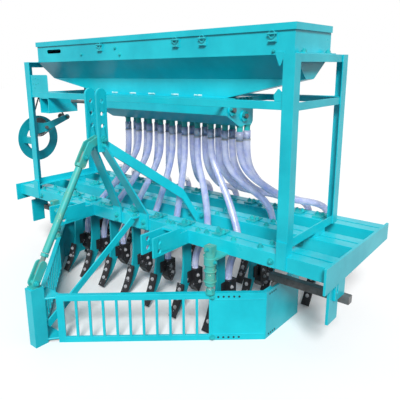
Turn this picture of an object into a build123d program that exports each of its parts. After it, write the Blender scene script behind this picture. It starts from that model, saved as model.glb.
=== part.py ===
import math
import os

from build123d import *

os.makedirs("parts", exist_ok=True)

# Driving dimensions of the planter, in millimetres.
# Ground is Z = 0, +X is the tractor driver's left-to-right seen from the tractor, +Y points to the rear.
bar_length = 2200.0
bar_z = 410.0
bar_pitch = 268.0
bar_leg = 58.0
slot_width = 12.0
bar_width = 2 * bar_leg + slot_width
tine_width = 60.0
boot_gap = 4.0
boot_depth = 62.0
nose_reach = 640.0
tail_reach = 2 * bar_pitch + bar_width / 2 + tine_width / 2 + boot_gap + boot_depth
face_y = (nose_reach - tail_reach) / 2

# Three slotted toolbars, each a pair of angle bars with a slot left between their top legs
bar_depth = 66.0
bar_wall = 8.0
bar_top = bar_z + bar_depth
front_slot_y = face_y + bar_width / 2
middle_slot_y = front_slot_y + bar_pitch
rear_slot_y = middle_slot_y + bar_pitch
half_bar = bar_length / 2

for bar_name, slot_y in (
    ("toolbar_front", front_slot_y),
    ("toolbar_middle", middle_slot_y),
    ("toolbar_rear", rear_slot_y),
):
    with BuildPart() as toolbar:
        for side in (-1, 1):
            outer_y = slot_y + side * bar_width / 2
            with BuildSketch(Plane.YZ.offset(-half_bar)):
                with BuildLine():
                    Polyline(
                        (outer_y, bar_z),
                        (outer_y, bar_top),
                        (outer_y - side * bar_leg, bar_top),
                        (outer_y - side * bar_leg, bar_top - bar_wall),
                        (outer_y - side * bar_wall, bar_top - bar_wall),
                        (outer_y - side * bar_wall, bar_z),
                        close=True,
                    )
                make_face()
            extrude(amount=bar_length)
    toolbar.part.label = bar_name
    export_step(toolbar.part, f"parts/{bar_name}.step")

# End plates welded across the three toolbars
end_plate_thickness = 10.0
end_plate_front_lap = 33.0
end_plate_rear_lap = 16.0
end_plate_rise = 8.0
end_plate_front_drop = 37.0
end_plate_rear_drop = 8.0
end_front_y = face_y - end_plate_front_lap
end_rear_y = rear_slot_y + bar_width / 2 + end_plate_rear_lap
end_outer_x = half_bar + end_plate_thickness

with BuildPart() as end_plates:
    for side in (-1, 1):
        with BuildSketch(Plane.YZ.offset(side * half_bar)):
            with BuildLine():
                Polyline(
                    (end_front_y, bar_z - end_plate_front_drop),
                    (end_rear_y, bar_z - end_plate_rear_drop),
                    (end_rear_y, bar_top + end_plate_rise),
                    (end_front_y, bar_top + end_plate_rise),
                    close=True,
                )
            make_face()
        extrude(amount=side * end_plate_thickness)
end_plates.part.label = "end_plates"
export_step(end_plates.part, "parts/end_plates.step")

# Slotted brackets inside the end plates and the stand legs bolted to them
bracket_front = 97.0
bracket_length = 95.0
bracket_drop = 115.0
bracket_thickness = 10.0
bracket_slot_width = 12.0
bracket_slot_length = 58.0
bracket_slot_inset = 18.0
bracket_slot_top = 26.0
leg_front = 60.0
leg_width = 90.0
leg_thickness = 12.0
leg_top_drop = 55.0
leg_foot_drop = 211.0
bracket_inner_x = half_bar - bracket_thickness
leg_inner_x = bracket_inner_x - leg_thickness

with BuildPart() as side_brackets:
    for side in (-1, 1):
        with BuildSketch(Plane.YZ.offset(side * bracket_inner_x)):
            with Locations((face_y + bracket_front + bracket_length / 2, bar_z - bracket_drop / 2)):
                Rectangle(bracket_length, bracket_drop)
            slot_z = bar_z - bracket_slot_top - bracket_slot_length / 2
            with Locations((face_y + bracket_front + bracket_slot_inset, slot_z)):
                SlotOverall(bracket_slot_length, bracket_slot_width, rotation=90, mode=Mode.SUBTRACT)
        extrude(amount=side * bracket_thickness)
side_brackets.part.label = "side_brackets"
export_step(side_brackets.part, "parts/side_brackets.step")

with BuildPart() as stand_legs:
    leg_height = leg_foot_drop - leg_top_drop
    for side in (-1, 1):
        with BuildSketch(Plane.YZ.offset(side * leg_inner_x)):
            with Locations((face_y + leg_front + leg_width / 2, bar_z - leg_top_drop - leg_height / 2)):
                Rectangle(leg_width, leg_height)
        extrude(amount=side * leg_thickness)
stand_legs.part.label = "stand_legs"
export_step(stand_legs.part, "parts/stand_legs.step")

# Side frames: four angle-iron posts, with rails at the foot, at mid height and at the top
post_x = 923.0
post_leg = 50.0
post_wall = 5.0
frame_top = bar_z + 872.0
frame_depth = 497.0
foot_rail_lift = 25.0
rail_leg = 40.0
mid_bar_z = bar_z + 660.0
mid_bar_leg = 32.0
mid_bar_wall = 4.0
top_rail_leg = 32.0
frame_front_y = face_y
frame_rear_y = face_y + frame_depth
foot_rail_z = bar_top + foot_rail_lift
rail_x = post_x - post_wall
rail_front_y = frame_front_y + post_wall
rail_rear_y = frame_rear_y - post_wall
rail_length = rail_rear_y - rail_front_y

with BuildPart() as front_posts:
    for side in (-1, 1):
        with BuildSketch(Plane.XY.offset(bar_top)):
            with BuildLine():
                Polyline(
                    (side * post_x, frame_front_y),
                    (side * (post_x - post_leg), frame_front_y),
                    (side * (post_x - post_leg), frame_front_y + post_wall),
                    (side * (post_x - post_wall), frame_front_y + post_wall),
                    (side * (post_x - post_wall), frame_front_y + post_leg),
                    (side * post_x, frame_front_y + post_leg),
                    close=True,
                )
            make_face()
        extrude(amount=frame_top - bar_top)
front_posts.part.label = "front_posts"
export_step(front_posts.part, "parts/front_posts.step")

with BuildPart() as rear_posts:
    for side in (-1, 1):
        with BuildSketch(Plane.XY.offset(foot_rail_z)):
            with BuildLine():
                Polyline(
                    (side * post_x, frame_rear_y),
                    (side * (post_x - post_leg), frame_rear_y),
                    (side * (post_x - post_leg), frame_rear_y - post_wall),
                    (side * (post_x - post_wall), frame_rear_y - post_wall),
                    (side * (post_x - post_wall), frame_rear_y - post_leg),
                    (side * post_x, frame_rear_y - post_leg),
                    close=True,
                )
            make_face()
        extrude(amount=frame_top - foot_rail_z)
rear_posts.part.label = "rear_posts"
export_step(rear_posts.part, "parts/rear_posts.step")

# columns: node, height of the rail's corner, leg down or up, horizontal leg
rail_rows = (
    ("foot_rails", foot_rail_z, rail_leg, rail_leg, post_wall),
    ("mid_rails", mid_bar_z - mid_bar_wall, mid_bar_leg, mid_bar_leg, mid_bar_wall),
    ("top_rails", frame_top, -top_rail_leg, top_rail_leg, mid_bar_wall),
)
for rail_name, corner_z, rise, reach, wall in rail_rows:
    with BuildPart() as rails:
        for side in (-1, 1):
            step = math.copysign(wall, rise)
            with BuildSketch(Plane.XZ.offset(-rail_front_y)):
                with BuildLine():
                    Polyline(
                        (side * rail_x, corner_z),
                        (side * (rail_x - reach), corner_z),
                        (side * (rail_x - reach), corner_z + step),
                        (side * (rail_x - wall), corner_z + step),
                        (side * (rail_x - wall), corner_z + rise),
                        (side * rail_x, corner_z + rise),
                        close=True,
                    )
                make_face()
            extrude(amount=-rail_length)
    rails.part.label = rail_name
    export_step(rails.part, f"parts/{rail_name}.step")

# Two cross bars between the side frames, resting on the mid rails
mid_bar_half = rail_x - mid_bar_wall
with BuildPart() as mid_bars:
    for edge_y, inward in ((rail_front_y, 1), (rail_rear_y, -1)):
        with BuildSketch(Plane.YZ.offset(-mid_bar_half)):
            with BuildLine():
                Polyline(
                    (edge_y, mid_bar_z),
                    (edge_y, mid_bar_z + mid_bar_leg),
                    (edge_y + inward * mid_bar_leg, mid_bar_z + mid_bar_leg),
                    (edge_y + inward * mid_bar_leg, mid_bar_z + mid_bar_leg - mid_bar_wall),
                    (edge_y + inward * mid_bar_wall, mid_bar_z + mid_bar_leg - mid_bar_wall),
                    (edge_y + inward * mid_bar_wall, mid_bar_z),
                    close=True,
                )
            make_face()
        extrude(amount=2 * mid_bar_half)
mid_bars.part.label = "mid_bars"
export_step(mid_bars.part, "parts/mid_bars.step")

# Foot plates bolted over the front posts and the toolbar face, and saddles under the foot rails
foot_plate_width = 46.0
foot_plate_thickness = 8.0
foot_plate_low = 6.0
foot_plate_height = 119.0
saddle_width = 34.0
saddle_length = 100.0
with BuildPart() as post_feet:
    for side in (-1, 1):
        with BuildSketch(Plane.XZ.offset(-frame_front_y)):
            with Locations((side * (post_x - foot_plate_width / 2), bar_z + foot_plate_low + foot_plate_height / 2)):
                Rectangle(foot_plate_width, foot_plate_height)
        extrude(amount=foot_plate_thickness)
        with BuildSketch(Plane.XY.offset(bar_top)):
            with Locations((side * (rail_x - rail_leg / 2), middle_slot_y)):
                Rectangle(saddle_width, saddle_length)
        extrude(amount=foot_rail_lift)
post_feet.part.label = "post_feet"
export_step(post_feet.part, "parts/post_feet.step")

# Hopper: folded sheet box with sloping floor sheets and a welded chute that narrows to the metering box
hopper_half = 880.0
sheet = 3.0
hopper_front = 76.0
hopper_depth = 324.0
hopper_rim_z = bar_z + 984.0
hopper_fold_z = bar_z + 870.0
throat_front = 182.0
throat_depth = 72.0
throat_z = bar_z + 772.0
chute_foot_z = bar_z + 686.0
chute_left_x = -412.0
chute_right_x = 486.0
hopper_front_y = face_y + hopper_front
hopper_rear_y = hopper_front_y + hopper_depth
throat_front_y = face_y + throat_front
throat_rear_y = throat_front_y + throat_depth
hanger_flange_width = 34.0
hanger_flange_thickness = 4.0
hanger_flange_length = 290.0
window_length = 140.0
window_height = 22.0
window_x = -708.0
window_drop = 54.0
hinge_xs = [share * hopper_half for share in (-0.7, 0.0, 0.7)]
hinge_radius = 6.0
hinge_pin_radius = 3.0
hinge_play = 0.1
hinge_leaf = 30.0
knuckle_length = 24.0
hinge_gap = 2.0
hinge_y = hopper_rear_y + sheet + hinge_radius
hinge_z = hopper_rim_z + hinge_gap

with BuildPart() as hopper:
    with BuildSketch(Plane.YZ.offset(-hopper_half)) as hopper_section:
        with BuildLine():
            Polyline(
                (hopper_front_y, hopper_rim_z),
                (hopper_front_y, hopper_fold_z),
                (throat_front_y, throat_z),
                (throat_rear_y, throat_z),
                (hopper_rear_y, hopper_fold_z),
                (hopper_rear_y, hopper_rim_z),
                close=True,
            )
        make_face()
    extrude(amount=2 * hopper_half)
    with BuildSketch(Plane.XZ.offset(-throat_front_y)):
        with BuildLine():
            Polyline(
                (-hopper_half, throat_z),
                (chute_left_x, chute_foot_z),
                (chute_right_x, chute_foot_z),
                (hopper_half, throat_z),
                close=True,
            )
        make_face()
    extrude(amount=-throat_depth)
    with BuildSketch(Plane.YZ.offset(-hopper_half + sheet)):
        with BuildLine():
            Polyline(
                (hopper_front_y + sheet, hopper_rim_z),
                (hopper_front_y + sheet, hopper_fold_z + sheet / 2),
                (throat_front_y + sheet, throat_z + sheet),
                (throat_rear_y - sheet, throat_z + sheet),
                (hopper_rear_y - sheet, hopper_fold_z + sheet / 2),
                (hopper_rear_y - sheet, hopper_rim_z),
                close=True,
            )
        make_face()
    extrude(amount=2 * (hopper_half - sheet), mode=Mode.SUBTRACT)
    with BuildSketch(Plane.XZ.offset(-throat_front_y - sheet)):
        with BuildLine():
            Polyline(
                (-hopper_half + 4 * sheet, throat_z + sheet),
                (-hopper_half + 4 * sheet, throat_z),
                (chute_left_x + sheet, chute_foot_z),
                (chute_right_x - sheet, chute_foot_z),
                (hopper_half - 4 * sheet, throat_z),
                (hopper_half - 4 * sheet, throat_z + sheet),
                close=True,
            )
        make_face()
    extrude(amount=-(throat_depth - 2 * sheet), mode=Mode.SUBTRACT)
    with BuildSketch(Plane.XZ.offset(-hopper_front_y)):
        with Locations((window_x, hopper_rim_z - window_drop)):
            SlotOverall(window_length, window_height)
    extrude(amount=-sheet, mode=Mode.SUBTRACT)
    for side in (-1, 1):
        with BuildSketch(Plane.XY.offset(frame_top)):
            with Locations((side * (hopper_half + hanger_flange_width / 2), hopper_front_y + hopper_depth / 2)):
                Rectangle(hanger_flange_width, hanger_flange_length)
        extrude(amount=hanger_flange_thickness)
    for hinge_x in hinge_xs:
        with BuildSketch(Plane.YZ.offset(hinge_x - knuckle_length / 2)):
            with Locations((hinge_y, hinge_z)):
                Circle(hinge_radius)
            with Locations((hopper_rear_y + sheet / 2, hinge_z - hinge_leaf / 2)):
                Rectangle(sheet, hinge_leaf)
            with Locations((hopper_rear_y + (sheet + hinge_radius) / 2, hinge_z - hinge_leaf / 4)):
                Rectangle(sheet + hinge_radius, hinge_leaf / 2)
            with Locations((hinge_y, hinge_z)):
                Circle(hinge_pin_radius + hinge_play, mode=Mode.SUBTRACT)
        extrude(amount=knuckle_length)
hopper.part.label = "hopper"
export_step(hopper.part, "parts/hopper.step")

# Lid: folded tray that turns on three barrel hinges along the rear rim
lid_gap = 4.0
lid_lip = 24.0
lid_top_z = hopper_rim_z + hinge_gap + sheet
lid_half = hopper_half + lid_gap + sheet
lid_front_y = hopper_front_y - lid_gap - sheet
lid_rear_y = hopper_rear_y - sheet
knuckle_gap = 1.0
with BuildPart() as hopper_lid:
    with BuildSketch(Plane.XY.offset(lid_top_z - sheet)):
        with Locations((0, (lid_front_y + lid_rear_y) / 2)):
            Rectangle(2 * lid_half, lid_rear_y - lid_front_y)
    extrude(amount=sheet)
    with BuildSketch(Plane.XY.offset(lid_top_z - sheet)):
        with Locations((0, lid_front_y + sheet / 2)):
            Rectangle(2 * lid_half, sheet)
        for side in (-1, 1):
            with Locations((side * (lid_half - sheet / 2), (lid_front_y + lid_rear_y) / 2)):
                Rectangle(sheet, lid_rear_y - lid_front_y)
    extrude(amount=-lid_lip)
    for hinge_x in hinge_xs:
        for side in (-1, 1):
            start_x = hinge_x + side * (knuckle_length / 2 + knuckle_gap)
            with BuildSketch(Plane.YZ.offset(start_x)):
                with Locations((hinge_y, hinge_z)):
                    Circle(hinge_radius)
                with Locations(((lid_rear_y + hinge_y) / 2, lid_top_z + sheet / 2)):
                    Rectangle(hinge_y - lid_rear_y + 2 * hinge_leaf / 2, sheet)
            extrude(amount=side * knuckle_length)
        with BuildSketch(Plane.YZ.offset(hinge_x - knuckle_length - knuckle_gap)):
            with Locations((hinge_y, hinge_z)):
                Circle(hinge_pin_radius)
        extrude(amount=2 * (knuckle_length + knuckle_gap))
hopper_lid.part.label = "hopper_lid"
export_step(hopper_lid.part, "parts/hopper_lid.step")

# Toggle latches on the hopper's front wall, below the lid's lip
latch_xs = [share * hopper_half for share in (-0.315, 0.308, 0.49, 0.89)]
latch_width = 36.0
latch_height = 34.0
latch_depth = 14.0
latch_drop = 30.0
with BuildPart() as latches:
    for latch_x in latch_xs:
        with BuildSketch(Plane.XZ.offset(-hopper_front_y)):
            with Locations((latch_x, hopper_rim_z - latch_drop - latch_height / 2)):
                Rectangle(latch_width, latch_height)
        extrude(amount=latch_depth)
latches.part.label = "latches"
export_step(latches.part, "parts/latches.step")

# Metering box: closed trough under the chute, hung between the mid bars by its end plates
box_right_x = 518.0
box_left_x = -385.0
box_end_thickness = 6.0
box_front = 137.0
box_back = 361.0
box_shoulder_z = bar_z + 608.0
box_floor_front = 238.0
box_floor_rear = 350.0
box_floor_z = bar_z + 552.0
box_tail_z = bar_z + 567.0
box_wall = 4.0
shaft_radius = 10.0
shaft_play = 0.08
bearing_radius = 27.0
bearing_thickness = 8.0
front_shaft_y = face_y + 177.0
front_shaft_z = bar_z + 631.0
rear_shaft_y = face_y + 279.0
rear_shaft_z = bar_z + 597.0
strip_front_y = rail_front_y + mid_bar_wall
strip_rear_y = rail_rear_y - mid_bar_wall
box_outline = (
    (face_y + box_front, chute_foot_z),
    (face_y + box_front, box_shoulder_z),
    (face_y + box_floor_front, box_floor_z),
    (face_y + box_floor_rear, box_floor_z),
    (face_y + box_back, box_tail_z),
    (face_y + box_back, chute_foot_z),
)
with BuildPart() as metering_box:
    with BuildSketch(Plane.YZ.offset(box_left_x)):
        with BuildLine():
            Polyline(*box_outline, close=True)
        make_face()
    extrude(amount=box_right_x - box_left_x)
    with BuildSketch(Plane.YZ.offset(box_left_x + box_end_thickness)):
        with BuildLine():
            Polyline(*box_outline, close=True)
        make_face()
        offset(amount=-box_wall, kind=Kind.INTERSECTION, mode=Mode.REPLACE)
    extrude(amount=box_right_x - box_left_x - 2 * box_end_thickness, mode=Mode.SUBTRACT)
    for end_x in (box_left_x, box_right_x - box_end_thickness):
        with BuildSketch(Plane.YZ.offset(end_x)):
            with Locations(((strip_front_y + strip_rear_y) / 2, (mid_bar_z + chute_foot_z) / 2)):
                Rectangle(strip_rear_y - strip_front_y, chute_foot_z - mid_bar_z)
        extrude(amount=box_end_thickness)
    for bearing_x in (box_left_x - bearing_thickness, box_right_x):
        with BuildSketch(Plane.YZ.offset(bearing_x)):
            with Locations((front_shaft_y, front_shaft_z), (rear_shaft_y, rear_shaft_z)):
                Circle(bearing_radius)
        extrude(amount=bearing_thickness)
    with BuildSketch(Plane.YZ.offset(box_left_x - bearing_thickness)):
        with Locations((front_shaft_y, front_shaft_z), (rear_shaft_y, rear_shaft_z)):
            Circle(shaft_radius + shaft_play)
    extrude(amount=box_right_x - box_left_x + 2 * bearing_thickness, mode=Mode.SUBTRACT)
metering_box.part.label = "metering_box"
export_step(metering_box.part, "parts/metering_box.step")

# Two rows of ten seed spouts under the metering box
spout_count = 10
spout_pitch = 87.6
spout_first_x = -280.0
spout_radius = 15.0
spout_length = 76.0
spout_collar_radius = 19.0
spout_collar = 5.0
front_spout_y = face_y + 262.0
rear_spout_y = face_y + 326.0
spout_end_z = box_floor_z - spout_length
spout_xs = [spout_first_x + spout_pitch * index for index in range(spout_count)]
with BuildPart() as spouts:
    spout_places = [(x, y) for x in spout_xs for y in (front_spout_y, rear_spout_y)]
    with BuildSketch(Plane.XY.offset(box_floor_z)):
        with Locations(*spout_places):
            Circle(spout_radius)
    extrude(amount=-spout_length)
    with BuildSketch(Plane.XY.offset(box_floor_z)):
        with Locations(*spout_places):
            Circle(spout_collar_radius)
    extrude(amount=-spout_collar)
spouts.part.label = "spouts"
export_step(spouts.part, "parts/spouts.step")

# Chain drive on the left: sprocket on the front feed shaft, idler, countershaft sprocket and the transfer pair
chain_x = -1000.0
chain_width = 8.0
chain_depth = 8.0
chain_play = 1.5
transfer_x = box_left_x - 36.0
sprocket_width = 6.0
top_sprocket_radius = 46.0
low_sprocket_radius = 60.0
idler_radius = 22.0
transfer_radius = 32.0
low_shaft_y = face_y + 120.0
low_shaft_z = bar_z + 458.0
idler_y = face_y + 292.0
idler_z = bar_z + 512.0
tooth_depth = 6.0
tooth_share = 0.5
shaft_end = 14.0
hub_radius = 18.0
hub_length = 16.0
drive_plate_thickness = 7.0
drive_plate_x = -post_x - drive_plate_thickness
shaft_right_x = box_right_x + bearing_thickness + shaft_end
shaft_left_x = chain_x - chain_width / 2 - shaft_end

# columns: node, centre y, centre z, shaft from x, shaft to x, then (x, radius, teeth) of each sprocket on it
sprocket_rows = (
    (
        "feed_shaft_front",
        front_shaft_y,
        front_shaft_z,
        shaft_left_x,
        shaft_right_x,
        ((chain_x, top_sprocket_radius, 18), (transfer_x, transfer_radius, 12)),
    ),
    (
        "feed_shaft_rear",
        rear_shaft_y,
        rear_shaft_z,
        transfer_x - shaft_end,
        shaft_right_x,
        ((transfer_x, transfer_radius, 12),),
    ),
    (
        "countershaft",
        low_shaft_y,
        low_shaft_z,
        shaft_left_x,
        drive_plate_x + drive_plate_thickness + shaft_end,
        ((chain_x, low_sprocket_radius, 24),),
    ),
    (
        "idler",
        idler_y,
        idler_z,
        shaft_left_x,
        drive_plate_x + drive_plate_thickness + shaft_end,
        ((chain_x, idler_radius, 9),),
    ),
)
for shaft_name, centre_y, centre_z, from_x, to_x, wheels in sprocket_rows:
    with BuildPart() as shaft:
        with BuildSketch(Plane.YZ.offset(from_x)):
            with Locations((centre_y, centre_z)):
                Circle(shaft_radius)
        extrude(amount=to_x - from_x)
        for wheel_x, wheel_radius, teeth in wheels:
            with BuildSketch(Plane.YZ.offset(wheel_x - sprocket_width / 2)):
                with Locations((centre_y, centre_z)):
                    Circle(wheel_radius - chain_play)
                with Locations((centre_y, centre_z)):
                    with PolarLocations(wheel_radius, teeth):
                        Circle(math.pi * wheel_radius / teeth * tooth_share, mode=Mode.SUBTRACT)
            extrude(amount=sprocket_width)
            with BuildSketch(Plane.YZ.offset(wheel_x - hub_length / 2)):
                with Locations((centre_y, centre_z)):
                    Circle(hub_radius)
            extrude(amount=hub_length)
    shaft.part.label = shaft_name
    export_step(shaft.part, f"parts/{shaft_name}.step")

# columns: x of the chain, then the (y, z, radius) circles that it wraps
chain_rows = (
    (
        chain_x,
        (
            (front_shaft_y, front_shaft_z, top_sprocket_radius),
            (idler_y, idler_z, idler_radius),
            (low_shaft_y, low_shaft_z, low_sprocket_radius),
        ),
    ),
    (
        transfer_x,
        (
            (front_shaft_y, front_shaft_z, transfer_radius),
            (rear_shaft_y, rear_shaft_z, transfer_radius),
        ),
    ),
)
with BuildPart() as drive_chains:
    for loop_x, circles in chain_rows:
        with BuildSketch(Plane.YZ.offset(loop_x - chain_width / 2)):
            for circle_y, circle_z, circle_radius in circles:
                with Locations((circle_y, circle_z)):
                    Circle(circle_radius + chain_depth)
            make_hull()
        extrude(amount=chain_width)
        with BuildSketch(Plane.YZ.offset(loop_x - chain_width / 2)):
            for circle_y, circle_z, circle_radius in circles:
                with Locations((circle_y, circle_z)):
                    Circle(circle_radius)
            make_hull()
        extrude(amount=chain_width, mode=Mode.SUBTRACT)
drive_chains.part.label = "drive_chains"
export_step(drive_chains.part, "parts/drive_chains.step")

# Drive plate: bearing arm bolted to the left front post, with a thin arm back to the idler
arm_height = 46.0
idler_arm_height = 26.0
arm_boss_radius = 30.0
idler_boss_radius = 18.0
with BuildPart() as drive_plate:
    with BuildSketch(Plane.YZ.offset(drive_plate_x)):
        with BuildLine():
            Polyline(
                (frame_front_y, low_shaft_z - arm_height),
                (low_shaft_y, low_shaft_z - idler_arm_height),
                (idler_y, idler_z - idler_boss_radius),
                (idler_y, idler_z + idler_boss_radius),
                (low_shaft_y, low_shaft_z + idler_arm_height),
                (frame_front_y, low_shaft_z + arm_height),
                close=True,
            )
        make_face()
        with Locations((low_shaft_y, low_shaft_z)):
            Circle(arm_boss_radius)
        with Locations((idler_y, idler_z)):
            Circle(idler_boss_radius)
        with Locations((low_shaft_y, low_shaft_z), (idler_y, idler_z)):
            Circle(shaft_radius + shaft_play, mode=Mode.SUBTRACT)
    extrude(amount=drive_plate_thickness)
drive_plate.part.label = "drive_plate"
export_step(drive_plate.part, "parts/drive_plate.step")

# Rounded chain guard outside the countershaft sprocket, standing off the left front post
guard_thickness = 4.0
guard_x = shaft_left_x - 12.0
guard_radius = 150.0
guard_window_radius = 88.0
guard_y = face_y + 122.0
guard_z = bar_z + 378.0
guard_arm_height = 40.0
guard_arm_front = 8.0
guard_arm_width = 34.0
with BuildPart() as chain_guard:
    with BuildSketch(Plane.YZ.offset(guard_x)):
        with Locations((guard_y, guard_z)):
            Circle(guard_radius)
        with Locations((guard_y, guard_z)):
            Circle(guard_window_radius, mode=Mode.SUBTRACT)
    extrude(amount=guard_thickness)
    with BuildSketch(Plane.YZ.offset(guard_x + guard_thickness)):
        with Locations((frame_front_y + guard_arm_front + guard_arm_width / 2, guard_z)):
            Rectangle(guard_arm_width, guard_arm_height)
    extrude(amount=-post_x - guard_x - guard_thickness)
chain_guard.part.label = "chain_guard"
export_step(chain_guard.part, "parts/chain_guard.step")

# Shaft hanger: open box section under the front mid bar, with the feed shaft running through it
hanger_left_x = -790.0
hanger_width = 90.0
hanger_wall = 5.0
hanger_depth = 210.0
hanger_drop = 92.0
hanger_top_z = mid_bar_z
hanger_front_y = rail_front_y
with BuildPart() as shaft_hanger:
    with BuildSketch(Plane.XZ.offset(-hanger_front_y)):
        with Locations((hanger_left_x + hanger_width / 2, hanger_top_z - hanger_drop / 2)):
            Rectangle(hanger_width, hanger_drop)
        with Locations((hanger_left_x + hanger_width / 2, hanger_top_z - hanger_drop / 2)):
            Rectangle(hanger_width - 2 * hanger_wall, hanger_drop - 2 * hanger_wall, mode=Mode.SUBTRACT)
    extrude(amount=-hanger_depth)
    with BuildSketch(Plane.YZ.offset(hanger_left_x)):
        with Locations((front_shaft_y, front_shaft_z)):
            Circle(shaft_radius + shaft_play)
    extrude(amount=hanger_width, mode=Mode.SUBTRACT)
shaft_hanger.part.label = "shaft_hanger"
export_step(shaft_hanger.part, "parts/shaft_hanger.step")

# Lower hitch clevises: two cheek plates a side with two pin holes, welded to the front toolbar
hitch_half_spread = 358.5
hitch_gap = 62.0
hitch_thickness = 10.0
hitch_reach = 242.0
hitch_top = 93.0
hitch_low = 3.0
hitch_notch_y = 60.0
hitch_notch_width = 44.0
hitch_hole_setback = 205.0
hitch_hole_high = 67.0
hitch_hole_low = 23.0
lower_pin_radius = 11.2
hitch_corner = 10.0
with BuildPart() as lower_hitches:
    for side in (-1, 1):
        for cheek in (-1, 1):
            cheek_x = side * hitch_half_spread + cheek * (hitch_gap + hitch_thickness) / 2
            with BuildSketch(Plane.YZ.offset(cheek_x - hitch_thickness / 2)):
                with BuildLine():
                    Polyline(
                        (face_y, bar_z),
                        (face_y, bar_top),
                        (face_y - hitch_notch_y, bar_top),
                        (face_y - hitch_notch_y, bar_z + hitch_top),
                        (face_y - hitch_reach, bar_z + hitch_top),
                        (face_y - hitch_reach, bar_z - hitch_low),
                        close=True,
                    )
                make_face()
                with Locations(
                    (face_y - hitch_hole_setback, bar_z + hitch_hole_high),
                    (face_y - hitch_hole_setback, bar_z + hitch_hole_low),
                ):
                    Circle(lower_pin_radius, mode=Mode.SUBTRACT)
            extrude(amount=hitch_thickness)
        with BuildSketch(Plane.XY.offset(bar_z + hitch_top)):
            with Locations((side * hitch_half_spread, face_y - hitch_notch_y - hitch_notch_width / 2)):
                Rectangle(hitch_gap + 2 * hitch_thickness, hitch_notch_width)
        extrude(amount=-hitch_thickness)
lower_hitches.part.label = "lower_hitches"
export_step(lower_hitches.part, "parts/lower_hitches.step")

# Mast: two plates with three top-link holes, each running into a flat strut down to the front toolbar
mast_gap = 68.0
mast_thickness = 12.0
mast_width = 60.0
mast_y = face_y - 200.0
mast_top_z = bar_z + 708.0
mast_foot_z = bar_z + 440.0
mast_hole_rises = (563.0, 620.0, 678.0)
top_pin_radius = 9.8
strut_width = 60.0
strut_thickness = 12.0
strut_top_x = 42.0
strut_foot_x = 104.0
strut_top_y = mast_y - 8.0
strut_bend_z = bar_z + 96.0
strut_foot_z = bar_z + 10.0
strut_top_z = bar_z + 470.0
strut_foot_y = face_y - strut_thickness
with BuildPart() as masts:
    for side in (-1, 1):
        plate_x = side * (mast_gap + mast_thickness) / 2
        with BuildSketch(Plane.YZ.offset(plate_x - mast_thickness / 2)):
            with Locations((mast_y, (mast_top_z + mast_foot_z) / 2)):
                Rectangle(mast_width, mast_top_z - mast_foot_z)
            with Locations((mast_y, mast_top_z)):
                Circle(mast_width / 2)
            with Locations(*[(mast_y, bar_z + rise) for rise in mast_hole_rises]):
                Circle(top_pin_radius, mode=Mode.SUBTRACT)
        extrude(amount=mast_thickness)
        with BuildSketch(Plane.XY.offset(strut_top_z)):
            with Locations((side * strut_top_x, strut_top_y)):
                Rectangle(strut_width, strut_thickness)
        with BuildSketch(Plane.XY.offset(strut_bend_z)):
            with Locations((side * strut_foot_x, strut_foot_y + strut_thickness / 2)):
                Rectangle(strut_width, strut_thickness)
        loft()
        with BuildSketch(Plane.XY.offset(strut_bend_z)):
            with Locations((side * strut_foot_x, strut_foot_y + strut_thickness / 2)):
                Rectangle(strut_width, strut_thickness)
        extrude(amount=strut_foot_z - strut_bend_z)
masts.part.label = "masts"
export_step(masts.part, "parts/masts.step")

# Long flat brace from the mast back over the front toolbar, bent down to a plate on the middle toolbar
brace_width = 58.0
brace_thickness = 12.0
brace_top_y = mast_y + mast_width / 2
brace_top_z = bar_z + 457.0
brace_bend_y = face_y + 193.0
brace_bend_z = bar_z + 173.0
brace_top_x = 40.0
brace_bend_x = 196.0
brace_foot_x = 236.0
brace_foot_z = bar_z + 34.0
brace_plate_width = 110.0
brace_plate_height = 62.0
brace_plate_thickness = 8.0
brace_foot_y = face_y + bar_pitch - brace_plate_thickness
with BuildPart() as mast_brace:
    for start_x, start_y, start_z, end_x, end_y, end_z in (
        (brace_top_x, brace_top_y, brace_top_z, brace_bend_x, brace_bend_y, brace_bend_z),
        (brace_bend_x, brace_bend_y, brace_bend_z, brace_foot_x, brace_foot_y, brace_foot_z),
    ):
        with BuildSketch(Plane.XZ.offset(-start_y)):
            with Locations((start_x, start_z)):
                Rectangle(brace_thickness, brace_width)
        with BuildSketch(Plane.XZ.offset(-end_y)):
            with Locations((end_x, end_z)):
                Rectangle(brace_thickness, brace_width)
        loft()
    with BuildSketch(Plane.XZ.offset(-brace_foot_y)):
        with Locations((brace_foot_x, bar_z + bar_depth / 2)):
            Rectangle(brace_plate_width, brace_plate_height)
    extrude(amount=-brace_plate_thickness)
mast_brace.part.label = "mast_brace"
export_step(mast_brace.part, "parts/mast_brace.step")

# V nose: a vertical post on the centre line, two barred arms, plain corner sheets and straight wings
nose_post_width = 50.0
nose_post_depth = 66.0
nose_front_y = face_y - nose_reach
nose_post_rear_y = nose_front_y + nose_post_depth
nose_post_top_z = bar_z - 124.0
arm_height_total = 238.0
arm_spread_share = 157 / 220
arm_x = half_bar * arm_spread_share
arm_corner_y = face_y + 88.0
arm_thickness = 6.0
grille_depth = 12.0
root_line_x = 30.0
root_line_y = face_y - 573.0
root_gap = 45.0
gusset_run = 46.0
gusset_thickness = 8.0
gusset_low_z = 12.0
grille_share = 0.74
rail_band = 28.0
bar_band = 12.0
grille_bars = 10
stile_band = 34.0
flange_width = 25.0
wing_length = 320.0
arm_angle = math.atan2(arm_corner_y - root_line_y, arm_x - root_line_x)
arm_root_x = root_line_x + root_gap * math.cos(arm_angle)
arm_root_y = root_line_y + root_gap * math.sin(arm_angle)
arm_dx = arm_x - arm_root_x
arm_dy = arm_corner_y - arm_root_y
arm_length = math.hypot(arm_dx, arm_dy)
grille_length = arm_length * grille_share
gusset_side_x = arm_root_x - grille_depth * math.sin(arm_angle)
gusset_side_y = arm_root_y + grille_depth * math.cos(arm_angle)
gusset_back_x = gusset_side_x + gusset_run * math.cos(arm_angle)
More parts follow.
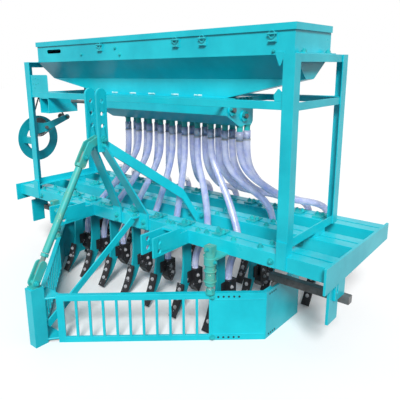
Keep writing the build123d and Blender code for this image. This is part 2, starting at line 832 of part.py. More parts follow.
gusset_back_y = gusset_side_y + gusset_run * math.sin(arm_angle)
with BuildPart() as nose_post:
    with BuildSketch(Plane.XY):
        with Locations((0, nose_front_y + nose_post_depth / 2)):
            Rectangle(nose_post_width, nose_post_depth)
    extrude(amount=nose_post_top_z)
    for gusset_z in (gusset_low_z, arm_height_total - gusset_low_z - gusset_thickness):
        with BuildSketch(Plane.XY.offset(gusset_z)):
            with BuildLine():
                Polyline(
                    (-nose_post_width / 2, nose_post_rear_y),
                    (nose_post_width / 2, nose_post_rear_y),
                    (gusset_side_x, gusset_side_y),
                    (gusset_back_x, gusset_back_y),
                    (-gusset_back_x, gusset_back_y),
                    (-gusset_side_x, gusset_side_y),
                    close=True,
                )
            make_face()
        extrude(amount=gusset_thickness)
nose_post.part.label = "nose_post"
export_step(nose_post.part, "parts/nose_post.step")

arm_planes = [
    Plane(
        origin=(side * arm_root_x, arm_root_y, 0),
        x_dir=(side * arm_dx, arm_dy, 0),
        z_dir=(side * arm_dy, -arm_dx, 0) if side > 0 else (-arm_dy, -arm_dx, 0),
    )
    for side in (-1, 1)
]
with BuildPart() as leveller_grilles:
    window_span = grille_length - stile_band
    window_pitch = window_span / (grille_bars + 1)
    for arm_plane in arm_planes:
        outward = 1 if arm_plane.y_dir.Z > 0 else -1
        with BuildSketch(arm_plane):
            with Locations((grille_length / 2, outward * arm_height_total / 2)):
                Rectangle(grille_length, arm_height_total)
            for index in range(grille_bars + 1):
                window_centre = stile_band + window_pitch * index + (window_pitch - bar_band) / 2
                with Locations((window_centre, outward * arm_height_total / 2)):
                    Rectangle(window_pitch - bar_band, arm_height_total - 2 * rail_band, mode=Mode.SUBTRACT)
        extrude(amount=-grille_depth)
        with BuildSketch(arm_plane):
            with Locations((grille_length / 2, outward * (arm_height_total - arm_thickness / 2))):
                Rectangle(grille_length, arm_thickness)
        extrude(amount=-flange_width)
leveller_grilles.part.label = "leveller_grilles"
export_step(leveller_grilles.part, "parts/leveller_grilles.step")

with BuildPart() as leveller_panels:
    panel_length = arm_length - grille_length
    for side, arm_plane in zip((-1, 1), arm_planes):
        outward = 1 if arm_plane.y_dir.Z > 0 else -1
        with BuildSketch(arm_plane):
            with Locations((grille_length + panel_length / 2, outward * arm_height_total / 2)):
                Rectangle(panel_length, arm_height_total)
        extrude(amount=-arm_thickness)
        with BuildSketch(arm_plane):
            with Locations((grille_length + panel_length / 2, outward * (arm_height_total - arm_thickness / 2))):
                Rectangle(panel_length, arm_thickness)
        extrude(amount=-flange_width)
        with BuildSketch(Plane.XZ.offset(-arm_corner_y)):
            with Locations((side * (arm_x - arm_thickness / 2), arm_height_total / 2)):
                Rectangle(arm_thickness, arm_height_total)
            with Locations((side * (arm_x - flange_width / 2), arm_height_total - arm_thickness / 2)):
                Rectangle(flange_width, arm_thickness)
        extrude(amount=-wing_length)
leveller_panels.part.label = "leveller_panels"
export_step(leveller_panels.part, "parts/leveller_panels.step")

# Black square bars from the side brackets to lugs that carry the wings
support_bar_size = 35.0
support_bar_front = 168.0
support_bar_overhang = 30.0
support_bar_lap = 37.0
support_bar_inner_x = arm_x - support_bar_lap
support_bar_top = bar_z - bracket_drop
lug_thickness = 8.0
lug_length = 60.0
with BuildPart() as wing_supports:
    for side in (-1, 1):
        with BuildSketch(Plane.YZ.offset(side * support_bar_inner_x)):
            with Locations((face_y + support_bar_front + support_bar_size / 2, support_bar_top - support_bar_size / 2)):
                Rectangle(support_bar_size, support_bar_size)
        extrude(amount=side * (half_bar + support_bar_overhang - support_bar_inner_x))
        with BuildSketch(Plane.XY.offset(arm_height_total)):
            with Locations((side * (arm_x - flange_width / 2), face_y + support_bar_front + support_bar_size / 2)):
                Rectangle(lug_thickness, lug_length)
        extrude(amount=support_bar_top - support_bar_size - arm_height_total)
wing_supports.part.label = "wing_supports"
export_step(wing_supports.part, "parts/wing_supports.step")

# Screw jacks between the front toolbar and the barred arms
jack_inset = 3.251
jack_y = face_y - 79.0
jack_x = root_line_x + (jack_y - root_line_y) / math.tan(arm_angle) - jack_inset
jack_base = 44.0
jack_base_thickness = 6.0
jack_screw_radius = 14.0
jack_barrel_radius = 24.0
jack_collar_radius = 29.0
jack_barrel_low = 130.0
jack_barrel_high = 30.0
jack_collar_height = 26.0
jack_head_size = 40.0
jack_head_z = bar_z + 60.0
jack_plate_width = 80.0
jack_plate_low = 40.0
with BuildPart() as jacks:
    for side in (-1, 1):
        jack_place = (side * jack_x, jack_y)
        with BuildSketch(Plane.XY.offset(arm_height_total)):
            with Locations(jack_place):
                Circle(jack_base / 2)
        extrude(amount=jack_base_thickness)
        with BuildSketch(Plane.XY.offset(arm_height_total + jack_base_thickness)):
            with Locations(jack_place):
                Circle(jack_screw_radius)
        extrude(amount=jack_head_z - arm_height_total - jack_base_thickness)
        with BuildSketch(Plane.XY.offset(bar_z - jack_barrel_low)):
            with Locations(jack_place):
                Circle(jack_barrel_radius)
        extrude(amount=jack_barrel_low + jack_barrel_high)
        with BuildSketch(Plane.XY.offset(bar_z)):
            with Locations(jack_place):
                Circle(jack_collar_radius)
        extrude(amount=-jack_collar_height)
        with BuildSketch(Plane.XY.offset(bar_z + jack_barrel_high)):
            with Locations(jack_place):
                Rectangle(jack_head_size, jack_head_size)
        extrude(amount=jack_head_z - bar_z - jack_barrel_high)
        with BuildSketch(Plane.XY.offset(bar_z)):
            with Locations((side * jack_x, (jack_y + face_y) / 2)):
                Rectangle(jack_plate_width, face_y - jack_y)
        extrude(amount=bar_wall)
jacks.part.label = "jacks"
export_step(jacks.part, "parts/jacks.step")

# Turnbuckle from the mast down to the nose post
link_top_y = face_y - 246.0
link_top_z = bar_z + 498.0
link_low_y = nose_front_y + nose_post_depth / 2
link_low_z = nose_post_top_z
link_radius = 17.0
link_rod_radius = 11.0
link_rod_share = 0.2
link_clevis = 44.0
link_top = Vector(0, link_top_y, link_top_z)
link_low = Vector(0, link_low_y, link_low_z + link_clevis / 2)
link_run = link_low - link_top
mast_pin_radius = 10.0
with BuildPart() as turnbuckle:
    with BuildSketch(Plane(origin=link_top, x_dir=(1, 0, 0), z_dir=link_run)):
        Circle(link_rod_radius)
    extrude(amount=link_run.length)
    with BuildSketch(
        Plane(origin=link_top + link_run * link_rod_share, x_dir=(1, 0, 0), z_dir=link_run)
    ):
        Circle(link_radius)
    extrude(amount=link_run.length * (1 - 2 * link_rod_share))
    with BuildSketch(Plane.XY.offset(link_low_z)):
        with Locations((0, link_low_y)):
            Rectangle(link_clevis, link_clevis)
    extrude(amount=link_clevis)
    with BuildSketch(Plane.YZ.offset(-mast_gap / 2)):
        with BuildLine():
            Polyline(
                (link_top_y - link_clevis / 2, link_top_z - link_clevis / 2),
                (mast_y, link_top_z - link_clevis / 2),
                (mast_y, link_top_z + link_clevis / 2),
                (link_top_y - link_clevis / 2, link_top_z + link_clevis / 2),
                close=True,
            )
        make_face()
    extrude(amount=mast_gap)
turnbuckle.part.label = "turnbuckle"
export_step(turnbuckle.part, "parts/turnbuckle.step")

# Flat brace from a lug on the front toolbar down to the inside of the nose post
nose_brace_width = 34.0
nose_brace_thickness = 8.0
nose_brace_x = 52.0
nose_brace_end_x = 10.0
nose_brace_start = 36.0
nose_brace_end_gap = 12.0
nose_brace_end_z = bar_z - 330.0
lug_plate_width = 34.0
lug_plate_front = 46.0
lug_plate_length = 90.0
lug_plate_thickness = 8.0
nose_brace_top = Vector(nose_brace_x, face_y - nose_brace_start, bar_top - lug_plate_thickness / 2)
nose_brace_low = Vector(nose_brace_end_x, nose_post_rear_y + nose_brace_end_gap, nose_brace_end_z)
nose_brace_run = nose_brace_low - nose_brace_top
with BuildPart() as nose_brace:
    with BuildSketch(Plane(origin=nose_brace_top, x_dir=(1, 0, 0), z_dir=nose_brace_run)):
        Rectangle(nose_brace_thickness, nose_brace_width)
    extrude(amount=nose_brace_run.length)
    with BuildSketch(Plane.XY.offset(bar_top)):
        with Locations((nose_brace_x, face_y - lug_plate_front + lug_plate_length / 2)):
            Rectangle(lug_plate_width, lug_plate_length)
    extrude(amount=lug_plate_thickness)
nose_brace.part.label = "nose_brace"
export_step(nose_brace.part, "parts/nose_brace.step")

# Tines: curved flat shanks under the slots, shovels on their front edges and seed boots behind them
tine_thickness = 12.0
tine_straight = 120.0
tine_back_straight = 150.0
tine_reach = 118.0
tine_tip_z = 12.0
tine_tip_width = 18.0
tine_head_gap = 8.0
tine_head_length = 92.0
tine_head_width = 50.0
tine_head_thickness = 8.0
front_tine_shares = (-0.5091, -0.3618, -0.2018, -0.0318, 0.1282, 0.3018, 0.4955)
middle_tine_shares = (-0.6364, 0.5091)
rear_tine_shares = (-0.8545, -0.6909, -0.5273, -0.3545, -0.1945, -0.0209, 0.1691, 0.3382, 0.4909, 0.6136, 0.7182)
front_tine_xs = [share * half_bar for share in front_tine_shares]
middle_tine_xs = [share * half_bar for share in middle_tine_shares]
rear_tine_xs = [share * half_bar for share in rear_tine_shares]
tine_places = [(x, front_slot_y) for x in front_tine_xs]
tine_places += [(x, middle_slot_y) for x in middle_tine_xs]
tine_places += [(x, rear_slot_y) for x in rear_tine_xs]
shank_top_z = bar_top - bar_wall - tine_head_thickness
shovel_thickness = 8.0
shovel_width = 44.0
shovel_lap = 175.0
boot_width = 52.0
boot_top_drop = 188.0
boot_height = 132.0
boot_cut = 40.0
boot_cheek_thickness = 5.0
boot_cheek_height = 60.0
boot_cheek_lap = 40.0

with BuildPart() as tine_shanks:
    for tine_x, slot_y in tine_places:
        with BuildSketch(Plane.YZ.offset(tine_x - tine_thickness / 2)):
            with BuildLine():
                Line((slot_y + tine_width / 2, shank_top_z), (slot_y - tine_width / 2, shank_top_z))
                Line((slot_y - tine_width / 2, shank_top_z), (slot_y - tine_width / 2, bar_z - tine_straight))
                TangentArc(
                    (slot_y - tine_width / 2, bar_z - tine_straight),
                    (slot_y - tine_reach, tine_tip_z),
                    tangent=(0, -1),
                )
                Line((slot_y - tine_reach, tine_tip_z), (slot_y - tine_reach + tine_tip_width, tine_tip_z))
                TangentArc(
                    (slot_y + tine_width / 2, bar_z - tine_back_straight),
                    (slot_y - tine_reach + tine_tip_width, tine_tip_z),
                    tangent=(0, -1),
                )
                Line((slot_y + tine_width / 2, bar_z - tine_back_straight), (slot_y + tine_width / 2, shank_top_z))
            make_face()
        extrude(amount=tine_thickness)
        with BuildSketch(Plane.XY.offset(shank_top_z)):
            with Locations((tine_x, slot_y)):
                Rectangle(tine_head_width, tine_head_length)
        extrude(amount=tine_head_thickness)
tine_shanks.part.label = "tine_shanks"
export_step(tine_shanks.part, "parts/tine_shanks.step")

# The shovel follows the arc of the shank's front edge, on a common centre
arc_run = tine_reach - tine_width / 2
arc_drop = bar_z - tine_straight - tine_tip_z
arc_radius = (arc_run**2 + arc_drop**2) / (2 * arc_run)
tip_turn = math.degrees(math.asin(arc_drop / arc_radius))
lap_turn = math.degrees(shovel_lap / arc_radius)
with BuildPart() as shovels:
    for tine_x, slot_y in tine_places:
        arc_centre = (slot_y - tine_width / 2 - arc_radius, bar_z - tine_straight)
        with BuildSketch(Plane.YZ.offset(tine_x - shovel_width / 2)):
            with BuildLine():
                outer = CenterArc(arc_centre, arc_radius, -tip_turn, lap_turn)
                inner = CenterArc(arc_centre, arc_radius - shovel_thickness, -tip_turn, lap_turn)
                Line(outer @ 0, inner @ 0)
                Line(outer @ 1, inner @ 1)
            make_face()
        extrude(amount=shovel_width)
shovels.part.label = "shovels"
export_step(shovels.part, "parts/shovels.step")

boot_back_y = tine_width / 2 + boot_gap + boot_depth / 2
with BuildPart() as seed_boots:
    for boot_x, slot_y in tine_places:
        boot_front_y = slot_y + tine_width / 2 + boot_gap
        boot_top_z = bar_z - boot_top_drop
        with BuildSketch(Plane.YZ.offset(boot_x - boot_width / 2)):
            with BuildLine():
                Polyline(
                    (boot_front_y, boot_top_z),
                    (boot_front_y + boot_depth, boot_top_z),
                    (boot_front_y + boot_depth, boot_top_z - boot_height + boot_cut),
                    (boot_front_y + boot_depth / 2, boot_top_z - boot_height),
                    (boot_front_y, boot_top_z - boot_height + boot_cut),
                    close=True,
                )
            make_face()
        extrude(amount=boot_width)
        for cheek in (-1, 1):
            with BuildSketch(Plane.YZ.offset(boot_x + cheek * tine_thickness / 2)):
                with Locations((boot_front_y - boot_cheek_lap / 2, boot_top_z - boot_cheek_height / 2)):
                    Rectangle(boot_cheek_lap, boot_cheek_height)
            extrude(amount=cheek * boot_cheek_thickness)
seed_boots.part.label = "seed_boots"
export_step(seed_boots.part, "parts/seed_boots.step")

# Clamp plates on the toolbar tops, with the heads of the bolts that pass through the slot
clamp_width = 50.0
clamp_length = 86.0
clamp_thickness = 8.0
bolt_radius = 5.0
bolt_head_radius = 11.0
bolt_head_height = 10.0
bolt_spread = 30.0
with BuildPart() as tine_clamps:
    for tine_x, slot_y in tine_places:
        with BuildSketch(Plane.XY.offset(bar_top)):
            with Locations((tine_x, slot_y)):
                Rectangle(clamp_width, clamp_length)
        extrude(amount=clamp_thickness)
        with BuildSketch(Plane.XY.offset(bar_top + clamp_thickness)):
            with Locations((tine_x - bolt_spread / 2, slot_y), (tine_x + bolt_spread / 2, slot_y)):
                RegularPolygon(bolt_head_radius, 6)
        extrude(amount=bolt_head_height)
        with BuildSketch(Plane.XY.offset(bar_top)):
            with Locations((tine_x - bolt_spread / 2, slot_y), (tine_x + bolt_spread / 2, slot_y)):
                Circle(bolt_radius)
        extrude(amount=-bar_wall)
tine_clamps.part.label = "tine_clamps"
export_step(tine_clamps.part, "parts/tine_clamps.step")

# Clear seed hoses from the spouts to the boots.
# Each row: node, x and y of the spout, x and y of the boot's mouth, then the route's inner points,
# given from the toolbar's front face and underside.
hose_radius = 18.0
bend_share = 0.45
hose_top_run = 61.0
hose_foot_run = 84.0
front_boot_y = front_slot_y + boot_back_y
middle_boot_y = middle_slot_y + boot_back_y
rear_boot_y = rear_slot_y + boot_back_y
mouth_z = bar_z - boot_top_drop
hose_rows = (
    ("hose_front_01", spout_xs[0], front_spout_y, middle_tine_xs[0], middle_boot_y,
     ((-305, 276, 341), (-383, 331, 252), (-501, 410, 177), (-615, 462, 89), (-688, 462, -1))),
    ("hose_front_02", spout_xs[1], front_spout_y, front_tine_xs[0], front_boot_y,
     ((-220, 255, 337), (-322, 242, 216), (-433, 215, 88), (-526, 186, -11))),
    ("hose_front_03", spout_xs[2], front_spout_y, front_tine_xs[1], front_boot_y,
     ((-125, 256, 337), (-205, 241, 214), (-293, 214, 91), (-373, 189, -8))),
    ("hose_front_04", spout_xs[3], front_spout_y, front_tine_xs[2], front_boot_y,
     ((-30, 259, 337), (-90, 239, 213), (-152, 213, 91), (-206, 188, -10))),
    ("hose_front_05", spout_xs[4], front_spout_y, front_tine_xs[3], front_boot_y,
     ((62, 258, 338), (33, 240, 216), (0, 216, 88), (-24, 188, -11))),
    ("hose_front_06", spout_xs[5], front_spout_y, front_tine_xs[4], front_boot_y,
     ((158, 256, 338), (150, 238, 213), (149, 213, 91), (145, 189, -10))),
    ("hose_front_07", spout_xs[6], front_spout_y, front_tine_xs[5], front_boot_y,
     ((251, 257, 339), (274, 241, 216), (304, 212, 92), (322, 186, -8))),
    ("hose_front_08", spout_xs[7], front_spout_y, front_tine_xs[6], front_boot_y,
     ((351, 256, 340), (408, 239, 214), (469, 212, 88), (527, 189, -11))),
    ("hose_front_09", spout_xs[8], front_spout_y, middle_tine_xs[1], middle_boot_y,
     ((427, 277, 340), (455, 329, 250), (495, 410, 175), (530, 462, 89), (556, 464, -3))),
    ("hose_front_10", spout_xs[9], front_spout_y, rear_tine_xs[10], rear_boot_y,
     ((535, 285, 331), (594, 358, 252), (653, 476, 195), (722, 606, 184), (770, 685, 143), (788, 725, 72),
      (790, 724, -13))),
    ("hose_rear_01", spout_xs[0], rear_spout_y, rear_tine_xs[0], rear_boot_y,
     ((-311, 344, 334), (-419, 403, 258), (-591, 501, 202), (-769, 614, 187), (-880, 688, 144),
      (-927, 726, 72), (-940, 726, -11))),
    ("hose_rear_02", spout_xs[1], rear_spout_y, rear_tine_xs[1], rear_boot_y,
     ((-222, 344, 334), (-311, 402, 260), (-460, 501, 200), (-611, 614, 187), (-710, 688, 144),
      (-747, 724, 75), (-758, 726, -10))),
    ("hose_rear_03", spout_xs[2], rear_spout_y, rear_tine_xs[2], rear_boot_y,
     ((-126, 342, 333), (-206, 405, 262), (-328, 501, 201), (-455, 612, 187), (-537, 688, 143),
      (-570, 726, 74), (-579, 723, -14))),
    ("hose_rear_04", spout_xs[3], rear_spout_y, rear_tine_xs[3], rear_boot_y,
     ((-36, 343, 332), (-95, 405, 258), (-193, 499, 198), (-295, 612, 184), (-358, 685, 143),
      (-383, 725, 73), (-391, 727, -14))),
    ("hose_rear_05", spout_xs[4], rear_spout_y, rear_tine_xs[4], rear_boot_y,
     ((56, 341, 333), (9, 405, 259), (-66, 500, 198), (-140, 612, 186), (-186, 688, 143), (-207, 726, 72),
      (-216, 725, -12))),
    ("hose_rear_06", spout_xs[5], rear_spout_y, rear_tine_xs[5], rear_boot_y,
     ((151, 344, 334), (119, 406, 258), (71, 500, 201), (22, 614, 188), (-7, 687, 142), (-20, 727, 72),
      (-21, 727, -12))),
    ("hose_rear_07", spout_xs[6], rear_spout_y, rear_tine_xs[6], rear_boot_y,
     ((241, 344, 333), (233, 403, 262), (218, 499, 200), (200, 613, 186), (190, 688, 145), (185, 725, 72),
      (188, 726, -13))),
    ("hose_rear_08", spout_xs[7], rear_spout_y, rear_tine_xs[7], rear_boot_y,
     ((334, 341, 335), (340, 404, 260), (352, 500, 201), (360, 614, 185), (369, 686, 142), (371, 725, 72),
      (373, 725, -14))),
    ("hose_rear_09", spout_xs[8], rear_spout_y, rear_tine_xs[8], rear_boot_y,
     ((426, 342, 335), (448, 404, 258), (478, 500, 200), (510, 614, 186), (531, 687, 142), (539, 724, 72),
      (542, 723, -10))),
    ("hose_rear_10", spout_xs[9], rear_spout_y, rear_tine_xs[9], rear_boot_y,
     ((518, 342, 332), (545, 406, 258), (587, 500, 200), (631, 612, 186), (662, 685, 142), (673, 726, 74),
      (673, 726, -10))),
)
for hose_name, spout_x, spout_y, boot_x, boot_y, inner_points in hose_rows:
    route_points = [Vector(spout_x, spout_y, spout_end_z), Vector(spout_x, spout_y, spout_end_z - hose_top_run)]
    route_points += [Vector(x, face_y + y, bar_z + z) for x, y, z in inner_points]
    route_points += [Vector(boot_x, boot_y, mouth_z + hose_foot_run), Vector(boot_x, boot_y, mouth_z)]
    radii = []
    for before, corner, after in zip(route_points, route_points[1:], route_points[2:]):
        run_in = corner - before
        run_out = after - corner
        half_turn = math.radians(run_in.get_angle(run_out)) / 2
        radii.append(bend_share * min(run_in.length, run_out.length) / math.tan(half_turn))
    print(hose_name, "bend radii", [round(radius) for radius in radii])
    with BuildPart() as hose:
        with BuildLine() as route:
            FilletPolyline(*route_points, radius=radii)
        with BuildSketch(Plane(origin=route_points[0], z_dir=route.line % 0)):
            Circle(hose_radius)
        sweep()
    hose_length = route.wires()[0].length
    volume_share = hose.part.volume / (math.pi * hose_radius**2 * hose_length)
    print(hose_name, "length", round(hose_length), "volume over section times length", round(volume_share, 4))
    hose.part.label = hose_name
    export_step(hose.part, f"parts/{hose_name}.step")
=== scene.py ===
import math

import bmesh
import bpy
from mathutils import Matrix, Vector


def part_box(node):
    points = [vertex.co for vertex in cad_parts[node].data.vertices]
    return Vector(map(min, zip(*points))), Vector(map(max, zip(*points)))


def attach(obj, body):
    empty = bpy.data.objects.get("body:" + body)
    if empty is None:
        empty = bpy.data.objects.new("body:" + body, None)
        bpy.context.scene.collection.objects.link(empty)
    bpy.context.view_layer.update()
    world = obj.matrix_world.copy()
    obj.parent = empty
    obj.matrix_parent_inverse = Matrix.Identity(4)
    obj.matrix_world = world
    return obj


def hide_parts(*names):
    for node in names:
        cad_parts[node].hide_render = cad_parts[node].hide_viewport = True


# The garlic planter is dressed in metres, in the CAD's own place: the ground is Z = 0, +X is the
# right-hand side seen from the tractor and +Y points to the rear.
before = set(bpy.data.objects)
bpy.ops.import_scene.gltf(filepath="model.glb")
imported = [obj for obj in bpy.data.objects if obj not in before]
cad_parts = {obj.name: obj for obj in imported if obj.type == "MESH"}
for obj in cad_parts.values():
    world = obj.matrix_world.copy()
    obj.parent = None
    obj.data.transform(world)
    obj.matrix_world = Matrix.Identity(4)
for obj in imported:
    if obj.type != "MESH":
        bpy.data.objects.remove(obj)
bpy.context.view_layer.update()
bpy.ops.object.select_all(action="DESELECT")
bpy.context.scene.view_settings.view_transform = "Standard"

# Camera: stands in front of the right-hand end of the planter at chest height and looks slightly down
# across the V nose, as the photograph does, with the lens that matches its perspective.
camera_stand = (1.77397, -1.65249, 1.23110)
camera_yaw = 40.991
camera_pitch = 13.946
camera_roll = -0.759
camera_turn = (
    Matrix.Rotation(math.radians(camera_yaw), 4, "Z")
    @ Matrix.Rotation(math.radians(90 - camera_pitch), 4, "X")
    @ Matrix.Rotation(math.radians(camera_roll), 4, "Z")
)
bpy.ops.object.camera_add(location=camera_stand, rotation=camera_turn.to_euler())
camera = bpy.context.active_object
camera.data.sensor_width = 36.0
camera.data.lens = 42.06
camera.data.shift_x = 0.0447
camera.data.shift_y = -0.0383
camera.data.clip_start = 0.05
bpy.context.scene.camera = camera
bpy.ops.object.select_all(action="DESELECT")

# Seed hoses: twenty lengths of clear PVC hose, 36 mm across, that hang from the spouts of the metering
# box down to the seed boots. Each follows its route in the CAD, with some points moved to match the
# photograph. The wall is see-through but milky, with an uneven bluish tint.
hose_across = 0.036


def new_material(name):
    material = bpy.data.materials.new(name)
    material.use_nodes = True
    shader = material.node_tree.nodes["Principled BSDF"]
    return material, material.node_tree.nodes, material.node_tree.links, shader


def cloudy_colour(nodes, links, shader, scale, low_stop, high_stop):
    where = nodes.new("ShaderNodeTexCoord")
    cloud = nodes.new("ShaderNodeTexNoise")
    cloud.inputs["Scale"].default_value = scale
    links.new(where.outputs["Object"], cloud.inputs["Vector"])
    ramp = nodes.new("ShaderNodeValToRGB")
    for stop, (place, colour) in zip(ramp.color_ramp.elements, (low_stop, high_stop)):
        stop.position = place
        stop.color = (*colour, 1)
    links.new(cloud.outputs["Fac"], ramp.inputs["Fac"])
    links.new(ramp.outputs["Color"], shader.inputs["Base Color"])
    return cloud


clear_hose, nodes, links, shader = new_material("clear_hose_wall")
haze = cloudy_colour(nodes, links, shader, 26.0, (0.32, (0.50, 0.57, 0.95)), (0.68, (0.80, 0.84, 1.0)))
haze.inputs["Detail"].default_value = 4.0
haze_rough = nodes.new("ShaderNodeMapRange")
haze_rough.inputs["To Min"].default_value = 0.06
haze_rough.inputs["To Max"].default_value = 0.20
links.new(haze.outputs["Fac"], haze_rough.inputs["Value"])
links.new(haze_rough.outputs["Result"], shader.inputs["Roughness"])
shader.inputs["Transmission Weight"].default_value = 0.48
shader.inputs["IOR"].default_value = 1.30
shader.inputs["Coat Weight"].default_value = 0.6
shader.inputs["Coat Roughness"].default_value = 0.08

